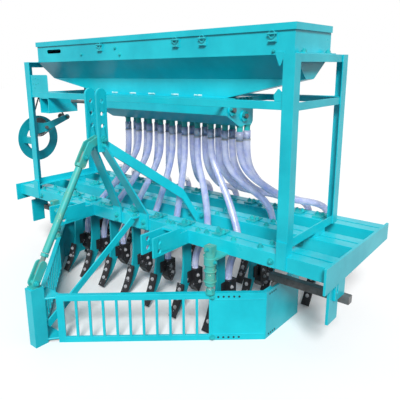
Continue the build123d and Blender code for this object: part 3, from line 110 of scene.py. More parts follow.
hose_routes = (
    ("hose_front_01", 0.895, (
        (-0.28, 0.234, 0.886), (-0.28, 0.234, 0.825), (-0.305, 0.248, 0.751), (-0.383, 0.303, 0.662),
        (-0.501, 0.382, 0.587), (-0.615, 0.434, 0.499), (-0.688, 0.434, 0.409), (-0.7, 0.369, 0.306),
        (-0.7, 0.369, 0.222),
    )),
    ("hose_front_02", 0.806, (
        (-0.1924, 0.234, 0.886), (-0.1924, 0.234, 0.825), (-0.22, 0.227, 0.747), (-0.322, 0.214, 0.626),
        (-0.433, 0.187, 0.498), (-0.526, 0.158, 0.399), (-0.56, 0.101, 0.306), (-0.56, 0.101, 0.222),
    )),
    ("hose_front_03", 0.767, (
        (-0.1048, 0.234, 0.886), (-0.1048, 0.234, 0.825), (-0.125, 0.228, 0.747), (-0.205, 0.213, 0.624),
        (-0.293, 0.186, 0.501), (-0.373, 0.161, 0.402), (-0.398, 0.101, 0.306), (-0.398, 0.101, 0.222),
    )),
    ("hose_front_04", 0.727, (
        (-0.0172, 0.234, 0.886), (-0.0172, 0.234, 0.825), (-0.03, 0.231, 0.747), (-0.09, 0.211, 0.623),
        (-0.152, 0.185, 0.501), (-0.206, 0.16, 0.4), (-0.222, 0.101, 0.306), (-0.222, 0.101, 0.222),
    )),
    ("hose_front_05", 0.697, (
        (0.0704, 0.234, 0.886), (0.0704, 0.234, 0.825), (0.062, 0.23, 0.748), (0.033, 0.212, 0.626),
        (0, 0.188, 0.498), (-0.024, 0.16, 0.399), (-0.035, 0.101, 0.306), (-0.035, 0.101, 0.222),
    )),
    ("hose_front_06", 0.686, (
        (0.158, 0.234, 0.886), (0.158, 0.234, 0.825), (0.158, 0.228, 0.748), (0.15, 0.21, 0.623),
        (0.149, 0.185, 0.501), (0.145, 0.161, 0.4), (0.141, 0.101, 0.306), (0.141, 0.101, 0.222),
    )),
    ("hose_front_07", 0.692, (
        (0.2456, 0.234, 0.886), (0.2456, 0.234, 0.825), (0.251, 0.229, 0.749), (0.305, 0.213, 0.626),
        (0.35, 0.184, 0.502), (0.372, 0.158, 0.402), (0.332, 0.101, 0.306), (0.332, 0.101, 0.222),
    )),
    ("hose_front_08", 0.729, (
        (0.3332, 0.234, 0.886), (0.3332, 0.234, 0.825), (0.36, 0.228, 0.75), (0.445, 0.211, 0.624),
        (0.522, 0.184, 0.498), (0.57, 0.158, 0.394), (0.545, 0.101, 0.3), (0.545, 0.101, 0.222),
    )),
    ("hose_front_09", 0.761, (
        (0.4208, 0.234, 0.886), (0.4208, 0.234, 0.825), (0.427, 0.249, 0.75), (0.475, 0.301, 0.66),
        (0.545, 0.382, 0.585), (0.586, 0.434, 0.499), (0.598, 0.428, 0.396), (0.56, 0.369, 0.298),
        (0.56, 0.369, 0.222),
    )),
    ("hose_front_10", 1.014, (
        (0.5084, 0.234, 0.886), (0.5084, 0.234, 0.825), (0.535, 0.257, 0.735), (0.594, 0.33, 0.656),
        (0.653, 0.448, 0.573), (0.722, 0.571, 0.543), (0.77, 0.657, 0.51), (0.788, 0.701, 0.444),
        (0.79, 0.691, 0.352), (0.79, 0.637, 0.29), (0.79, 0.637, 0.222),
    )),
    ("hose_rear_01", 1.211, (
        (-0.28, 0.298, 0.886), (-0.28, 0.298, 0.825), (-0.311, 0.316, 0.738), (-0.419, 0.375, 0.65),
        (-0.591, 0.473, 0.58), (-0.769, 0.579, 0.546), (-0.88, 0.66, 0.511), (-0.927, 0.701, 0.444),
        (-0.94, 0.692, 0.354), (-0.94, 0.637, 0.29), (-0.94, 0.637, 0.222),
    )),
    ("hose_rear_02", 1.141, (
        (-0.1924, 0.298, 0.886), (-0.1924, 0.298, 0.825), (-0.222, 0.316, 0.738), (-0.311, 0.374, 0.652),
        (-0.46, 0.473, 0.578), (-0.611, 0.579, 0.546), (-0.71, 0.66, 0.511), (-0.747, 0.701, 0.447),
        (-0.758, 0.692, 0.355), (-0.76, 0.637, 0.29), (-0.76, 0.637, 0.222),
    )),
    ("hose_rear_03", 1.078, (
        (-0.1048, 0.298, 0.886), (-0.1048, 0.298, 0.825), (-0.126, 0.314, 0.737), (-0.206, 0.377, 0.654),
        (-0.328, 0.473, 0.579), (-0.455, 0.577, 0.546), (-0.537, 0.66, 0.51), (-0.57, 0.701, 0.446),
        (-0.579, 0.69, 0.351), (-0.58, 0.637, 0.29), (-0.58, 0.637, 0.222),
    )),
    ("hose_rear_04", 1.018, (
        (-0.0172, 0.298, 0.886), (-0.0172, 0.298, 0.825), (-0.036, 0.315, 0.736), (-0.095, 0.377, 0.65),
        (-0.193, 0.471, 0.576), (-0.295, 0.577, 0.543), (-0.358, 0.657, 0.51), (-0.383, 0.701, 0.445),
        (-0.391, 0.692, 0.351), (-0.39, 0.637, 0.29), (-0.39, 0.637, 0.222),
    )),
    ("hose_rear_05", 0.971, (
        (0.0704, 0.298, 0.886), (0.0704, 0.298, 0.825), (0.056, 0.313, 0.737), (0.009, 0.377, 0.651),
        (-0.066, 0.472, 0.576), (-0.14, 0.577, 0.545), (-0.186, 0.66, 0.51), (-0.207, 0.701, 0.444),
        (-0.216, 0.692, 0.353), (-0.214, 0.637, 0.29), (-0.214, 0.637, 0.222),
    )),
    ("hose_rear_06", 0.931, (
        (0.158, 0.298, 0.886), (0.158, 0.298, 0.825), (0.151, 0.316, 0.738), (0.119, 0.378, 0.65),
        (0.071, 0.472, 0.579), (0.022, 0.579, 0.547), (-0.007, 0.659, 0.509), (-0.02, 0.701, 0.444),
        (-0.021, 0.692, 0.353), (-0.023, 0.637, 0.29), (-0.023, 0.637, 0.222),
    )),
    ("hose_rear_07", 0.903, (
        (0.2456, 0.298, 0.886), (0.2456, 0.298, 0.825), (0.241, 0.316, 0.737), (0.233, 0.375, 0.654),
        (0.218, 0.471, 0.578), (0.2, 0.578, 0.545), (0.19, 0.66, 0.512), (0.185, 0.701, 0.444),
        (0.188, 0.692, 0.352), (0.186, 0.637, 0.29), (0.186, 0.637, 0.222),
    )),
    ("hose_rear_08", 0.899, (
        (0.3332, 0.298, 0.886), (0.3332, 0.298, 0.825), (0.334, 0.313, 0.739), (0.34, 0.376, 0.652),
        (0.352, 0.472, 0.579), (0.36, 0.579, 0.544), (0.369, 0.658, 0.509), (0.371, 0.701, 0.444),
        (0.373, 0.692, 0.351), (0.372, 0.637, 0.29), (0.372, 0.637, 0.222),
    )),
    ("hose_rear_09", 0.911, (
        (0.4208, 0.298, 0.886), (0.4208, 0.298, 0.825), (0.426, 0.314, 0.739), (0.448, 0.376, 0.65),
        (0.478, 0.472, 0.578), (0.51, 0.579, 0.545), (0.531, 0.659, 0.509), (0.539, 0.701, 0.444),
        (0.542, 0.69, 0.355), (0.54, 0.637, 0.29), (0.54, 0.637, 0.222),
    )),
    ("hose_rear_10", 0.925, (
        (0.5084, 0.298, 0.886), (0.5084, 0.298, 0.825), (0.518, 0.314, 0.736), (0.545, 0.378, 0.65),
        (0.587, 0.472, 0.578), (0.631, 0.577, 0.545), (0.662, 0.657, 0.509), (0.673, 0.701, 0.446),
        (0.673, 0.692, 0.355), (0.675, 0.637, 0.29), (0.675, 0.637, 0.222),
    )),
)
for hose_name, hose_length, route in hose_routes:
    line = bpy.data.curves.new(hose_name + "_line", "CURVE")
    line.dimensions = "3D"
    spline = line.splines.new("NURBS")
    spline.points.add(len(route) - 1)
    for point, place in zip(spline.points, route):
        point.co = (*place, 1.0)
    spline.order_u = 3
    spline.use_endpoint_u = True
    line.resolution_u = 8
    line.bevel_depth = hose_across / 2
    line.bevel_resolution = 5
    line.use_fill_caps = True
    line.materials.append(clear_hose)
    hose = bpy.data.objects.new(hose_name + "_clear", line)
    bpy.context.collection.objects.link(hose)
    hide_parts(hose_name)
    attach(hose, "frame")

# Floor and light: a plain white studio floor, a soft white surround and one broad key light from the
# front right, so that the undersides of the hopper and toolbars fall into shade as in the photograph.
# Floor and surround show white to the eye and in reflections, and light the planter less than that.


def ray_seen(nodes, links):
    seen = nodes.new("ShaderNodeLightPath")
    total = seen.outputs["Is Camera Ray"]
    for ray in ("Is Glossy Ray", "Is Transmission Ray"):
        either = nodes.new("ShaderNodeMath")
        either.operation = "MAXIMUM"
        links.new(total, either.inputs[0])
        links.new(seen.outputs[ray], either.inputs[1])
        total = either.outputs["Value"]
    return total


bpy.ops.mesh.primitive_plane_add(size=60.0, location=(0, 0, 0))
floor = bpy.context.active_object
floor.name = "studio_floor"
floor_white, nodes, links, shader = new_material("studio_floor_white")
floor_mix = nodes.new("ShaderNodeMix")
floor_mix.data_type = "RGBA"
floor_mix.inputs["A"].default_value = (0.09, 0.10, 0.11, 1)
floor_mix.inputs["B"].default_value = (1.0, 1.0, 1.0, 1)
links.new(ray_seen(nodes, links), floor_mix.inputs["Factor"])
links.new(floor_mix.outputs["Result"], shader.inputs["Base Color"])
shader.inputs["Roughness"].default_value = 0.9
shader.inputs["Specular IOR Level"].default_value = 0.0
floor.data.materials.append(floor_white)
bpy.ops.object.select_all(action="DESELECT")

surround = bpy.data.worlds.new("studio_surround")
surround.use_nodes = True
bpy.context.scene.world = surround
nodes, links = surround.node_tree.nodes, surround.node_tree.links
glow = nodes["Background"]
glow_strength = nodes.new("ShaderNodeMapRange")
glow_strength.inputs["To Min"].default_value = 0.38
glow_strength.inputs["To Max"].default_value = 1.0
links.new(ray_seen(nodes, links), glow_strength.inputs["Value"])
links.new(glow_strength.outputs["Result"], glow.inputs["Strength"])
glow.inputs["Color"].default_value = (1.0, 1.0, 1.0, 1)
key_turn = (math.radians(51), 0, math.radians(37))
bpy.ops.object.light_add(type="SUN", location=(2.0, -3.0, 4.0), rotation=key_turn)
key_light = bpy.context.active_object
key_light.name = "key_light"
key_light.data.energy = 3.4
key_light.data.angle = math.radians(18)
bpy.ops.object.select_all(action="DESELECT")

# Toolbars and end plates: three pairs of rolled steel angles with a slot left between them, closed by
# welded end plates, all under one coat of turquoise enamel brushed and sprayed on thick. The coat is
# glossy, cloudy where it is thin, and chipped to bare steel in places.
bar_low, bar_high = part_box("toolbar_front")
bar_face = bar_low[1]
bar_top = bar_high[2]
bar_step = 0.268
wear_group = bpy.data.node_groups.new("worn_coat", "ShaderNodeTree")
for socket_name, socket_type, start in (
    ("Coat", "NodeSocketColor", (0.02, 0.55, 0.58, 1)),
    ("Thin Coat", "NodeSocketColor", (0.01, 0.38, 0.42, 1)),
    ("Bare", "NodeSocketColor", (0.45, 0.47, 0.48, 1)),
    ("Patch Scale", "NodeSocketFloat", 4.0),
    ("Chip Scale", "NodeSocketFloat", 60.0),
    ("Chips", "NodeSocketFloat", 0.3),
    ("Gloss", "NodeSocketFloat", 0.25),
):
    socket = wear_group.interface.new_socket(name=socket_name, in_out="INPUT", socket_type=socket_type)
    socket.default_value = start
for socket_name, socket_type in (
    ("Color", "NodeSocketColor"),
    ("Roughness", "NodeSocketFloat"),
    ("Metallic", "NodeSocketFloat"),
    ("Height", "NodeSocketFloat"),
):
    wear_group.interface.new_socket(name=socket_name, in_out="OUTPUT", socket_type=socket_type)
given = wear_group.nodes.new("NodeGroupInput")
result = wear_group.nodes.new("NodeGroupOutput")


def coat_noise(scale_name, detail, roughness):
    where = wear_group.nodes.new("ShaderNodeTexCoord")
    noise = wear_group.nodes.new("ShaderNodeTexNoise")
    noise.inputs["Detail"].default_value = detail
    noise.inputs["Roughness"].default_value = roughness
    wear_group.links.new(where.outputs["Object"], noise.inputs["Vector"])
    wear_group.links.new(given.outputs[scale_name], noise.inputs["Scale"])
    return noise.outputs["Fac"]


def coat_mix(share, under, over):
    mix = wear_group.nodes.new("ShaderNodeMix")
    mix.data_type = "RGBA"
    wear_group.links.new(share, mix.inputs["Factor"])
    wear_group.links.new(under, mix.inputs["A"])
    wear_group.links.new(over, mix.inputs["B"])
    return mix.outputs["Result"]


def coat_math(operation, *values):
    step = wear_group.nodes.new("ShaderNodeMath")
    step.operation = operation
    for socket, value in zip(step.inputs, values):
        if isinstance(value, float):
            socket.default_value = value
        else:
            wear_group.links.new(value, socket)
    return step.outputs["Value"]


def coat_range(value, high, new_low, new_high):
    step = wear_group.nodes.new("ShaderNodeMapRange")
    step.inputs["From Min"].default_value = 0.0
    step.inputs["From Max"].default_value = high
    step.inputs["To Min"].default_value = new_low
    step.inputs["To Max"].default_value = new_high
    wear_group.links.new(value, step.inputs["Value"])
    return step.outputs["Result"]


patch = coat_noise("Patch Scale", 5.0, 0.62)
patch_ramp = wear_group.nodes.new("ShaderNodeValToRGB")
patch_ramp.color_ramp.elements[0].position = 0.38
patch_ramp.color_ramp.elements[1].position = 0.66
wear_group.links.new(patch, patch_ramp.inputs["Fac"])
clouded_coat = coat_mix(patch_ramp.outputs["Color"], given.outputs["Coat"], given.outputs["Thin Coat"])
# A chip opens where the fine and the coarse noise are both high; more chips lower the level it takes.
chip = coat_noise("Chip Scale", 7.0, 0.7)
chip_level = coat_range(given.outputs["Chips"], 1.0, 0.56, 0.26)
chip_edge = coat_math("SUBTRACT", coat_math("MULTIPLY", chip, patch), chip_level)
chip_mask = coat_range(chip_edge, 0.018, 0.0, 1.0)
chipped_coat = coat_mix(chip_mask, clouded_coat, given.outputs["Bare"])
wear_group.links.new(chipped_coat, result.inputs["Color"])
coat_rough = coat_math("MULTIPLY_ADD", patch, 0.22, given.outputs["Gloss"])
wear_group.links.new(coat_rough, result.inputs["Roughness"])
wear_group.links.new(coat_math("MULTIPLY", chip_mask, 0.8), result.inputs["Metallic"])
wear_group.links.new(coat_math("MULTIPLY_ADD", chip_mask, -0.6, patch), result.inputs["Height"])


def coated_steel(name, coat, thin, bare, patch_scale, chip_scale, chips, gloss, bump):
    material, nodes, links, shader = new_material(name)
    coating = nodes.new("ShaderNodeGroup")
    coating.node_tree = wear_group
    coating.inputs["Coat"].default_value = (*coat, 1)
    coating.inputs["Thin Coat"].default_value = (*thin, 1)
    coating.inputs["Bare"].default_value = (*bare, 1)
    coating.inputs["Patch Scale"].default_value = patch_scale
    coating.inputs["Chip Scale"].default_value = chip_scale
    coating.inputs["Chips"].default_value = chips
    coating.inputs["Gloss"].default_value = gloss
    ripple = nodes.new("ShaderNodeBump")
    ripple.inputs["Strength"].default_value = bump
    ripple.inputs["Distance"].default_value = 0.001
    shader.inputs["Specular IOR Level"].default_value = 0.35
    links.new(coating.outputs["Color"], shader.inputs["Base Color"])
    links.new(coating.outputs["Roughness"], shader.inputs["Roughness"])
    links.new(coating.outputs["Metallic"], shader.inputs["Metallic"])
    links.new(coating.outputs["Height"], ripple.inputs["Height"])
    links.new(ripple.outputs["Normal"], shader.inputs["Normal"])
    return material


turquoise = coated_steel(
    "turquoise_enamel", (0.010, 0.63, 0.74), (0.004, 0.49, 0.60), (0.42, 0.50, 0.50),
    patch_scale=3.2, chip_scale=48.0, chips=0.16, gloss=0.20, bump=0.12,
)
bolt_steel = coated_steel(
    "painted_bolt_steel", (0.02, 0.52, 0.54), (0.01, 0.36, 0.40), (0.52, 0.54, 0.52),
    patch_scale=18.0, chip_scale=150.0, chips=0.55, gloss=0.28, bump=0.3,
)


def dress(material, edge, *names):
    for name in names:
        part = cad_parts[name]
        part.data.materials.clear()
        part.data.materials.append(material)
        if edge:
            weld = part.modifiers.new("join_corners", "WELD")
            weld.merge_threshold = 0.00001
            soft = part.modifiers.new("soft_edges", "BEVEL")
            soft.width = edge
            soft.segments = 2
            soft.limit_method = "ANGLE"
            soft.angle_limit = math.radians(40)
            soft.harden_normals = False


dress(turquoise, 0.0015, "toolbar_front", "toolbar_middle", "toolbar_rear", "end_plates", "side_brackets")


def pick_faces(piece, way):
    bpy.ops.object.mode_set(mode="EDIT")
    shape = bmesh.from_edit_mesh(piece.data)
    for face in shape.faces:
        face.select_set(face.normal.dot(Vector(way)) > 0.9)
    bmesh.update_edit_mesh(piece.data)


def join_onto(base, pieces):
    bpy.ops.object.select_all(action="DESELECT")
    for piece in (base, *pieces):
        piece.select_set(True)
    bpy.context.view_layer.objects.active = base
    bpy.ops.object.join()
    bpy.context.view_layer.update()
    bpy.ops.object.transform_apply(location=True, rotation=True, scale=True)
    bpy.ops.object.select_all(action="DESELECT")


def hex_bolt(across, head, washer):
    washer_depth = 0.002
    seat = 0.0015
    bpy.ops.mesh.primitive_cylinder_add(
        vertices=6, radius=across / 2, depth=head, location=(0, 0, head / 2 + seat)
    )
    bolt = bpy.context.active_object
    pick_faces(bolt, (0, 0, 1))
    bpy.ops.mesh.bevel(offset=across * 0.07, segments=2, affect="EDGES")
    bpy.ops.object.mode_set(mode="OBJECT")
    bpy.ops.mesh.primitive_cylinder_add(
        vertices=20, radius=washer / 2, depth=washer_depth, location=(0, 0, washer_depth / 2)
    )
    washer_piece = bpy.context.active_object
    pick_faces(washer_piece, (0, 0, 1))
    bpy.ops.mesh.bevel(offset=washer_depth / 4, segments=1, affect="EDGES")
    bpy.ops.object.mode_set(mode="OBJECT")
    bpy.ops.mesh.primitive_cylinder_add(
        vertices=12, radius=across * 0.28, depth=head * 0.5, location=(0, 0, head * 1.2 + seat)
    )
    stub = bpy.context.active_object
    pick_faces(stub, (0, 0, 1))
    bpy.ops.mesh.inset(thickness=across * 0.06)
    bpy.ops.transform.translate(value=(0, 0, across * 0.05))
    bpy.ops.object.mode_set(mode="OBJECT")
    join_onto(bolt, (washer_piece, stub))
    return bolt


def settle(piece, name, material):
    bpy.ops.object.select_all(action="DESELECT")
    piece.select_set(True)
    bpy.context.view_layer.objects.active = piece
    bpy.ops.object.transform_apply(location=True, rotation=True, scale=True)
    piece.name = name
    piece.data.name = name
    piece.data.materials.clear()
    piece.data.materials.append(material)
    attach(piece, "frame")
    bpy.ops.object.select_all(action="DESELECT")
    return piece


def copies_at(pattern, poses):
    copies = []
    for pose in poses:
        copy = pattern.copy()
        copy.data = pattern.data.copy()
        bpy.context.collection.objects.link(copy)
        copy.matrix_world = pose
        copies.append(copy)
    return copies


def set_out(pattern, name, places, material):
    poses = []
    for place, facing in places:
        turn = Vector(facing).to_track_quat("Z", "Y").to_matrix().to_4x4()
        poses.append(Matrix.Translation(place) @ turn)
    copies = copies_at(pattern, poses)
    join_onto(copies[0], copies[1:])
    return settle(copies[0], name, material)


painted_bolt = hex_bolt(0.022, 0.009, 0.030)
near_leg = bar_face + 0.030
far_leg = bar_face + 0.098
far_leg_shift = 0.02
front_bolt_xs = (
    -0.860, -0.700, -0.635, -0.480, -0.289, -0.262, -0.116, 0.240, 0.272, 0.434, 0.486, 0.640, 0.780,
)
middle_bolt_xs = (-0.560, -0.420, -0.300, -0.120, 0.080, 0.220, 0.350, 0.450, 0.650, 0.760)
rear_bolt_xs = (-0.850, -0.670, -0.480, -0.300, -0.120, 0.080, 0.280, 0.450, 0.610, 0.840)
bolt_rows = [(x, near_leg) for x in front_bolt_xs]
bolt_rows += [(x + far_leg_shift, far_leg) for x in front_bolt_xs[::2]]
bolt_rows += [(x, near_leg + bar_step) for x in middle_bolt_xs]
bolt_rows += [(x, far_leg + bar_step) for x in middle_bolt_xs[::2]]
bolt_rows += [(x, near_leg + 2 * bar_step) for x in rear_bolt_xs]
spare_bolt_places = [((x, y, bar_top), (0, 0, 1)) for x, y in bolt_rows]
set_out(painted_bolt, "toolbar_spare_bolts", spare_bolt_places, bolt_steel)

# Side frames: four angle-iron posts with foot, middle and top rails, welded and bolted at the corners.
# The rails are rolled angle, so only their edges are softened. A bolt sits beside each foot plate, a lug
# beside the right-hand post and a riveted cover plate beside the left-hand one.
dress(
    turquoise, 0.0012, "front_posts", "rear_posts", "foot_rails", "mid_rails", "top_rails", "mid_bars",
    "post_feet", "stand_legs",
)
bar_under = bar_low[2]
foot_bolt_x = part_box("front_posts")[1][0] - 0.072
foot_bolt_z = bar_under + 0.028
foot_bolt_places = [
    ((side * foot_bolt_x, bar_face + back, foot_bolt_z), (0, -1, 0))
    for back in (0, bar_step)
    for side in (-1, 1)
]
set_out(painted_bolt, "post_foot_bolts", foot_bolt_places, bolt_steel)
rail_bolt_x = 0.897
rail_bolt_z = bar_under + 0.876
rail_bolt_places = [
    ((side * rail_bolt_x, bar_face + back, rail_bolt_z), (0, 0, 1))
    for side in (-1, 1)
    for back in (0.120, 0.340)
]
set_out(painted_bolt, "top_rail_bolts", rail_bolt_places, bolt_steel)


def put_away(pattern):
    bpy.data.objects.remove(pattern, do_unlink=True)


def soften(piece, width, segments=2):
    bpy.context.view_layer.objects.active = piece
    soft = piece.modifiers.new("soft", "BEVEL")
    soft.width = width
    soft.segments = segments
    soft.limit_method = "ANGLE"
    bpy.ops.object.modifier_apply(modifier="soft")


def cut_plate(outline, push, edge):
    shape = bmesh.new()
    face = shape.faces.new([shape.verts.new(point) for point in outline])
    grown = bmesh.ops.extrude_face_region(shape, geom=[face])
    pushed = [item for item in grown["geom"] if isinstance(item, bmesh.types.BMVert)]
    bmesh.ops.translate(shape, vec=push, verts=pushed)
    bmesh.ops.recalc_face_normals(shape, faces=shape.faces)
    mesh = bpy.data.meshes.new("cut_plate")
    shape.to_mesh(mesh)
    shape.free()
    plate = bpy.data.objects.new("cut_plate", mesh)
    bpy.context.collection.objects.link(plate)
    soften(plate, edge)
    return plate


def upright_plate(name, outline, face, base, thickness, edge):
    plate = cut_plate([(x, face, base + z) for x, z in outline], (0, thickness, 0), edge)
    settle(plate, name, turquoise)


mid_bar_top = bar_under + 0.692
mid_bar_front = bar_face + 0.0052
lug_outline = (
    (0.838, 0.0002), (0.834, 0.026), (0.852, 0.048), (0.858, 0.048), (0.8722, 0.035), (0.8722, 0.0002),
)
cover_outline = ((-0.8722, 0.0002), (-0.8722, 0.103), (-0.700, 0.103), (-0.694, 0.097), (-0.694, 0.0002))
upright_plate("mid_bar_lug", lug_outline, mid_bar_front, mid_bar_top, 0.004, 0.001)
upright_plate("drive_cover_plate", cover_outline, mid_bar_front, mid_bar_top, 0.003, 0.0008)
rivet_radius = 0.0046
rivet_places = (
    (-0.846, 0.079), (-0.820, 0.083), (-0.792, 0.077), (-0.848, 0.050), (-0.818, 0.047), (-0.794, 0.052),
    (-0.832, 0.026),
)
bpy.ops.mesh.primitive_uv_sphere_add(segments=14, ring_count=8, radius=rivet_radius)
rivet = bpy.context.active_object
rivet.dimensions = (2 * rivet_radius, 2 * rivet_radius, rivet_radius)
bpy.ops.object.transform_apply(location=True, rotation=True, scale=True)
for face in rivet.data.polygons:
    face.use_smooth = True
set_out(
    rivet,
    "cover_plate_rivets",
    [((x, bar_face + 0.0046, mid_bar_top + z), (0, -1, 0)) for x, z in rivet_places],
    bolt_steel,
)
put_away(rivet)

# Hopper and lid: 3 mm folded sheet welded at the corners, with a tray-shaped lid on three barrel
# hinges. White primer shows at the welds along the foot of the chute, and a pointed tab and a few small
# bolt heads sit on the front wall.
dress(turquoise, 0.0, "hopper", "hopper_lid")
hopper_wall = bar_face + 0.076
wall_fold = bar_under + 0.870
tab_outline = (
    (0.797, 0.012), (0.838, 0.012), (0.838, 0.0), (0.8235, -0.040), (0.819, -0.045), (0.8145, -0.040),
    (0.797, 0.0),
)
upright_plate("hopper_wall_tab", tab_outline, hopper_wall - 0.0032, wall_fold, 0.003, 0.0008)
wall_bolt = hex_bolt(0.013, 0.005, 0.016)
wall_bolt_places = ((-0.443, 0.905), (-0.157, 0.930), (-0.122, 0.896), (0.788, 0.884))
set_out(
    wall_bolt,
    "hopper_wall_bolts",
    [((x, hopper_wall, bar_under + z), (0, -1, 0)) for x, z in wall_bolt_places],
    bolt_steel,
)
put_away(wall_bolt)
primer_white, nodes, links, shader = new_material("primer_spots")
cloudy_colour(nodes, links, shader, 90.0, (0.35, (0.10, 0.55, 0.56)), (0.6, (0.72, 0.86, 0.85)))
shader.inputs["Roughness"].default_value = 0.62


def ringed_cylinder(sides, radius, length, cuts, width_at):
    bpy.ops.mesh.primitive_cylinder_add(vertices=sides, radius=radius, depth=length)
    piece = bpy.context.active_object
    bpy.ops.object.mode_set(mode="EDIT")
    shape = bmesh.from_edit_mesh(piece.data)
    long_edges = [edge for edge in shape.edges if abs((edge.verts[0].co - edge.verts[1].co).z) > length / 2]
    bmesh.ops.subdivide_edges(shape, edges=long_edges, cuts=cuts)
    for vert in shape.verts:
        width = width_at(vert.co.z / length + 0.5)
        vert.co.x *= width
        vert.co.y *= width
    bmesh.update_edit_mesh(piece.data)
    bpy.ops.object.mode_set(mode="OBJECT")
    return piece


def lay_along(piece, start, end, up):
    turn = (end - start).to_track_quat("Z", up).to_matrix().to_4x4()
    piece.matrix_world = Matrix.Translation((start + end) / 2) @ turn


def weld_bead(name, start, end, width, material):
    start, end = Vector(start), Vector(end)
    length = (end - start).length
    drops = max(6, int(length / (width * 1.2)))

    def width_at(share):
        return 1 + 0.16 * math.cos(math.pi * drops * share)

    bead = ringed_cylinder(8, width / 2, length, drops, width_at)
    lay_along(bead, start, end, "Y")
    return settle(bead, name, material)


chute_front = bar_face + 0.1825
chute_foot = bar_under + 0.694
chute_left = -0.392
for number, x in enumerate((-0.447, -0.295, -0.146, 0.0, 0.164, 0.315), start=1):
    weld_bead(
        f"chute_weld_{number}", (max(x - 0.022, chute_left), chute_front, chute_foot),
        (x + 0.024, chute_front, chute_foot), 0.009, primer_white,
    )

# Toggle latches: four small over-centre catches on the front wall, each a pressed base with a curled
# lever and a wire bail that reaches up to the lid's lip. Painted over with the rest.
latch_coat = coated_steel(
    "latch_coat", (0.03, 0.60, 0.68), (0.02, 0.42, 0.48), (0.62, 0.68, 0.68),
    patch_scale=30.0, chip_scale=140.0, chips=0.48, gloss=0.22, bump=0.25,
)
latch_across = 0.038
latch_thickness = 0.005
latch_height = bar_under + 0.937
latch_places = (-0.2772, 0.27104, 0.4312, 0.7832)
bpy.ops.mesh.primitive_cube_add(size=1.0, location=(0, 0, 0))
latch = bpy.context.active_object
latch.dimensions = (latch_across, latch_thickness, latch_across)
bpy.ops.object.transform_apply(location=True, rotation=True, scale=True)
pick_faces(latch, (0, -1, 0))
bpy.ops.mesh.inset(thickness=latch_thickness)
bpy.ops.mesh.extrude_region_move(TRANSFORM_OT_translate={"value": (0, -latch_thickness, 0)})
bpy.ops.transform.resize(value=(0.8, 1, 0.7))
bpy.ops.object.mode_set(mode="OBJECT")
soften(latch, 0.0008)
latch_parts = []
for width, forward, rise in ((0.042, 0.0085, 0.013), (0.034, 0.0075, -0.015)):
    bpy.ops.mesh.primitive_cylinder_add(
        vertices=12, radius=0.004, depth=width, location=(0, -forward, rise),
        rotation=(0, math.radians(90), 0),
    )
    latch_parts.append(bpy.context.active_object)
bpy.ops.mesh.primitive_torus_add(
    major_radius=0.014, minor_radius=0.0017, major_segments=20, minor_segments=6,
    location=(0, -0.0092, 0.012), rotation=(math.radians(90), 0, 0),
)
latch_parts.append(bpy.context.active_object)
join_onto(latch, latch_parts)
latch_y = hopper_wall - latch_thickness / 2
latch_set = copies_at(latch, [Matrix.Translation((x, latch_y, latch_height)) for x in latch_places])
join_onto(latch_set[0], latch_set[1:])
toggle_latches = settle(latch_set[0], "toggle_latches", latch_coat)
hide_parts("latches")
put_away(latch)

# Metering box: folded trough with end plates and bearings, two feed shafts and twenty spouts under its
# floor. Flanged bearings are bolted on; the spouts are short tubes painted with the box, and the upper
# end of each hose is pushed over its spout and held by a wire clip.
dress(turquoise, 0.0, "metering_box", "shaft_hanger")
small_bolt = hex_bolt(0.014, 0.006, 0.020)
box_right = 0.518
bearing_face = box_right + 0.008
bearing_bolt_reach = 0.019
feed_front = (bar_face + 0.177, bar_under + 0.631)
feed_rear = (bar_face + 0.279, bar_under + 0.597)
bearing_bolt_places = []
for y, z in (feed_front, feed_rear):
    for turn in (0.8, 2.9, 5.0):
        bolt_y = y + bearing_bolt_reach * math.cos(turn)
        bolt_z = z + bearing_bolt_reach * math.sin(turn)
        bearing_bolt_places.append(((bearing_face, bolt_y, bolt_z), (1, 0, 0)))
rim_bolt_places = [((box_right, bar_face + 0.160 + 0.03 * k, bar_under + 0.676), (1, 0, 0)) for k in range(7)]
set_out(small_bolt, "bearing_bolts", bearing_bolt_places + rim_bolt_places, bolt_steel)
spout_coat = coated_steel(
    "spout_coat", (0.02, 0.50, 0.50), (0.03, 0.36, 0.34), (0.55, 0.60, 0.55),
    patch_scale=30.0, chip_scale=160.0, chips=0.42, gloss=0.3, bump=0.3,
)
dress(spout_coat, 0.0, "spouts")
clip_steel = coated_steel(
    "clip_steel", (0.40, 0.42, 0.43), (0.30, 0.31, 0.32), (0.55, 0.57, 0.58),
    patch_scale=40.0, chip_scale=200.0, chips=0.4, gloss=0.25, bump=0.2,
)
hose_tops = [(route[0], (0, 0, 1)) for hose_name, hose_length, route in hose_routes]
sleeve_length = 0.046
bpy.ops.mesh.primitive_cylinder_add(
    vertices=24, radius=hose_across / 2, depth=sleeve_length, end_fill_type="NOTHING",
    location=(0, 0, sleeve_length / 2 + 0.0002),
)
sleeve = bpy.context.active_object
sleeve_wall = sleeve.modifiers.new("wall", "SOLIDIFY")
sleeve_wall.thickness = 0.0026
sleeve_wall.offset = -1.0
bpy.ops.object.modifier_apply(modifier="wall")
bpy.ops.object.transform_apply(location=True, rotation=True, scale=True)
for face in sleeve.data.polygons:
    face.use_smooth = True
set_out(sleeve, "hose_sleeves", hose_tops, clear_hose)
put_away(sleeve)
bpy.ops.mesh.primitive_torus_add(
    major_radius=0.0184, minor_radius=0.0014, major_segments=28, minor_segments=6
)
hose_clip = bpy.context.active_object
hose_clip.scale = (1, 1, 2.2)
bpy.ops.object.transform_apply(location=True, rotation=True, scale=True)
set_out(hose_clip, "hose_clips", hose_tops, clip_steel)
put_away(hose_clip)

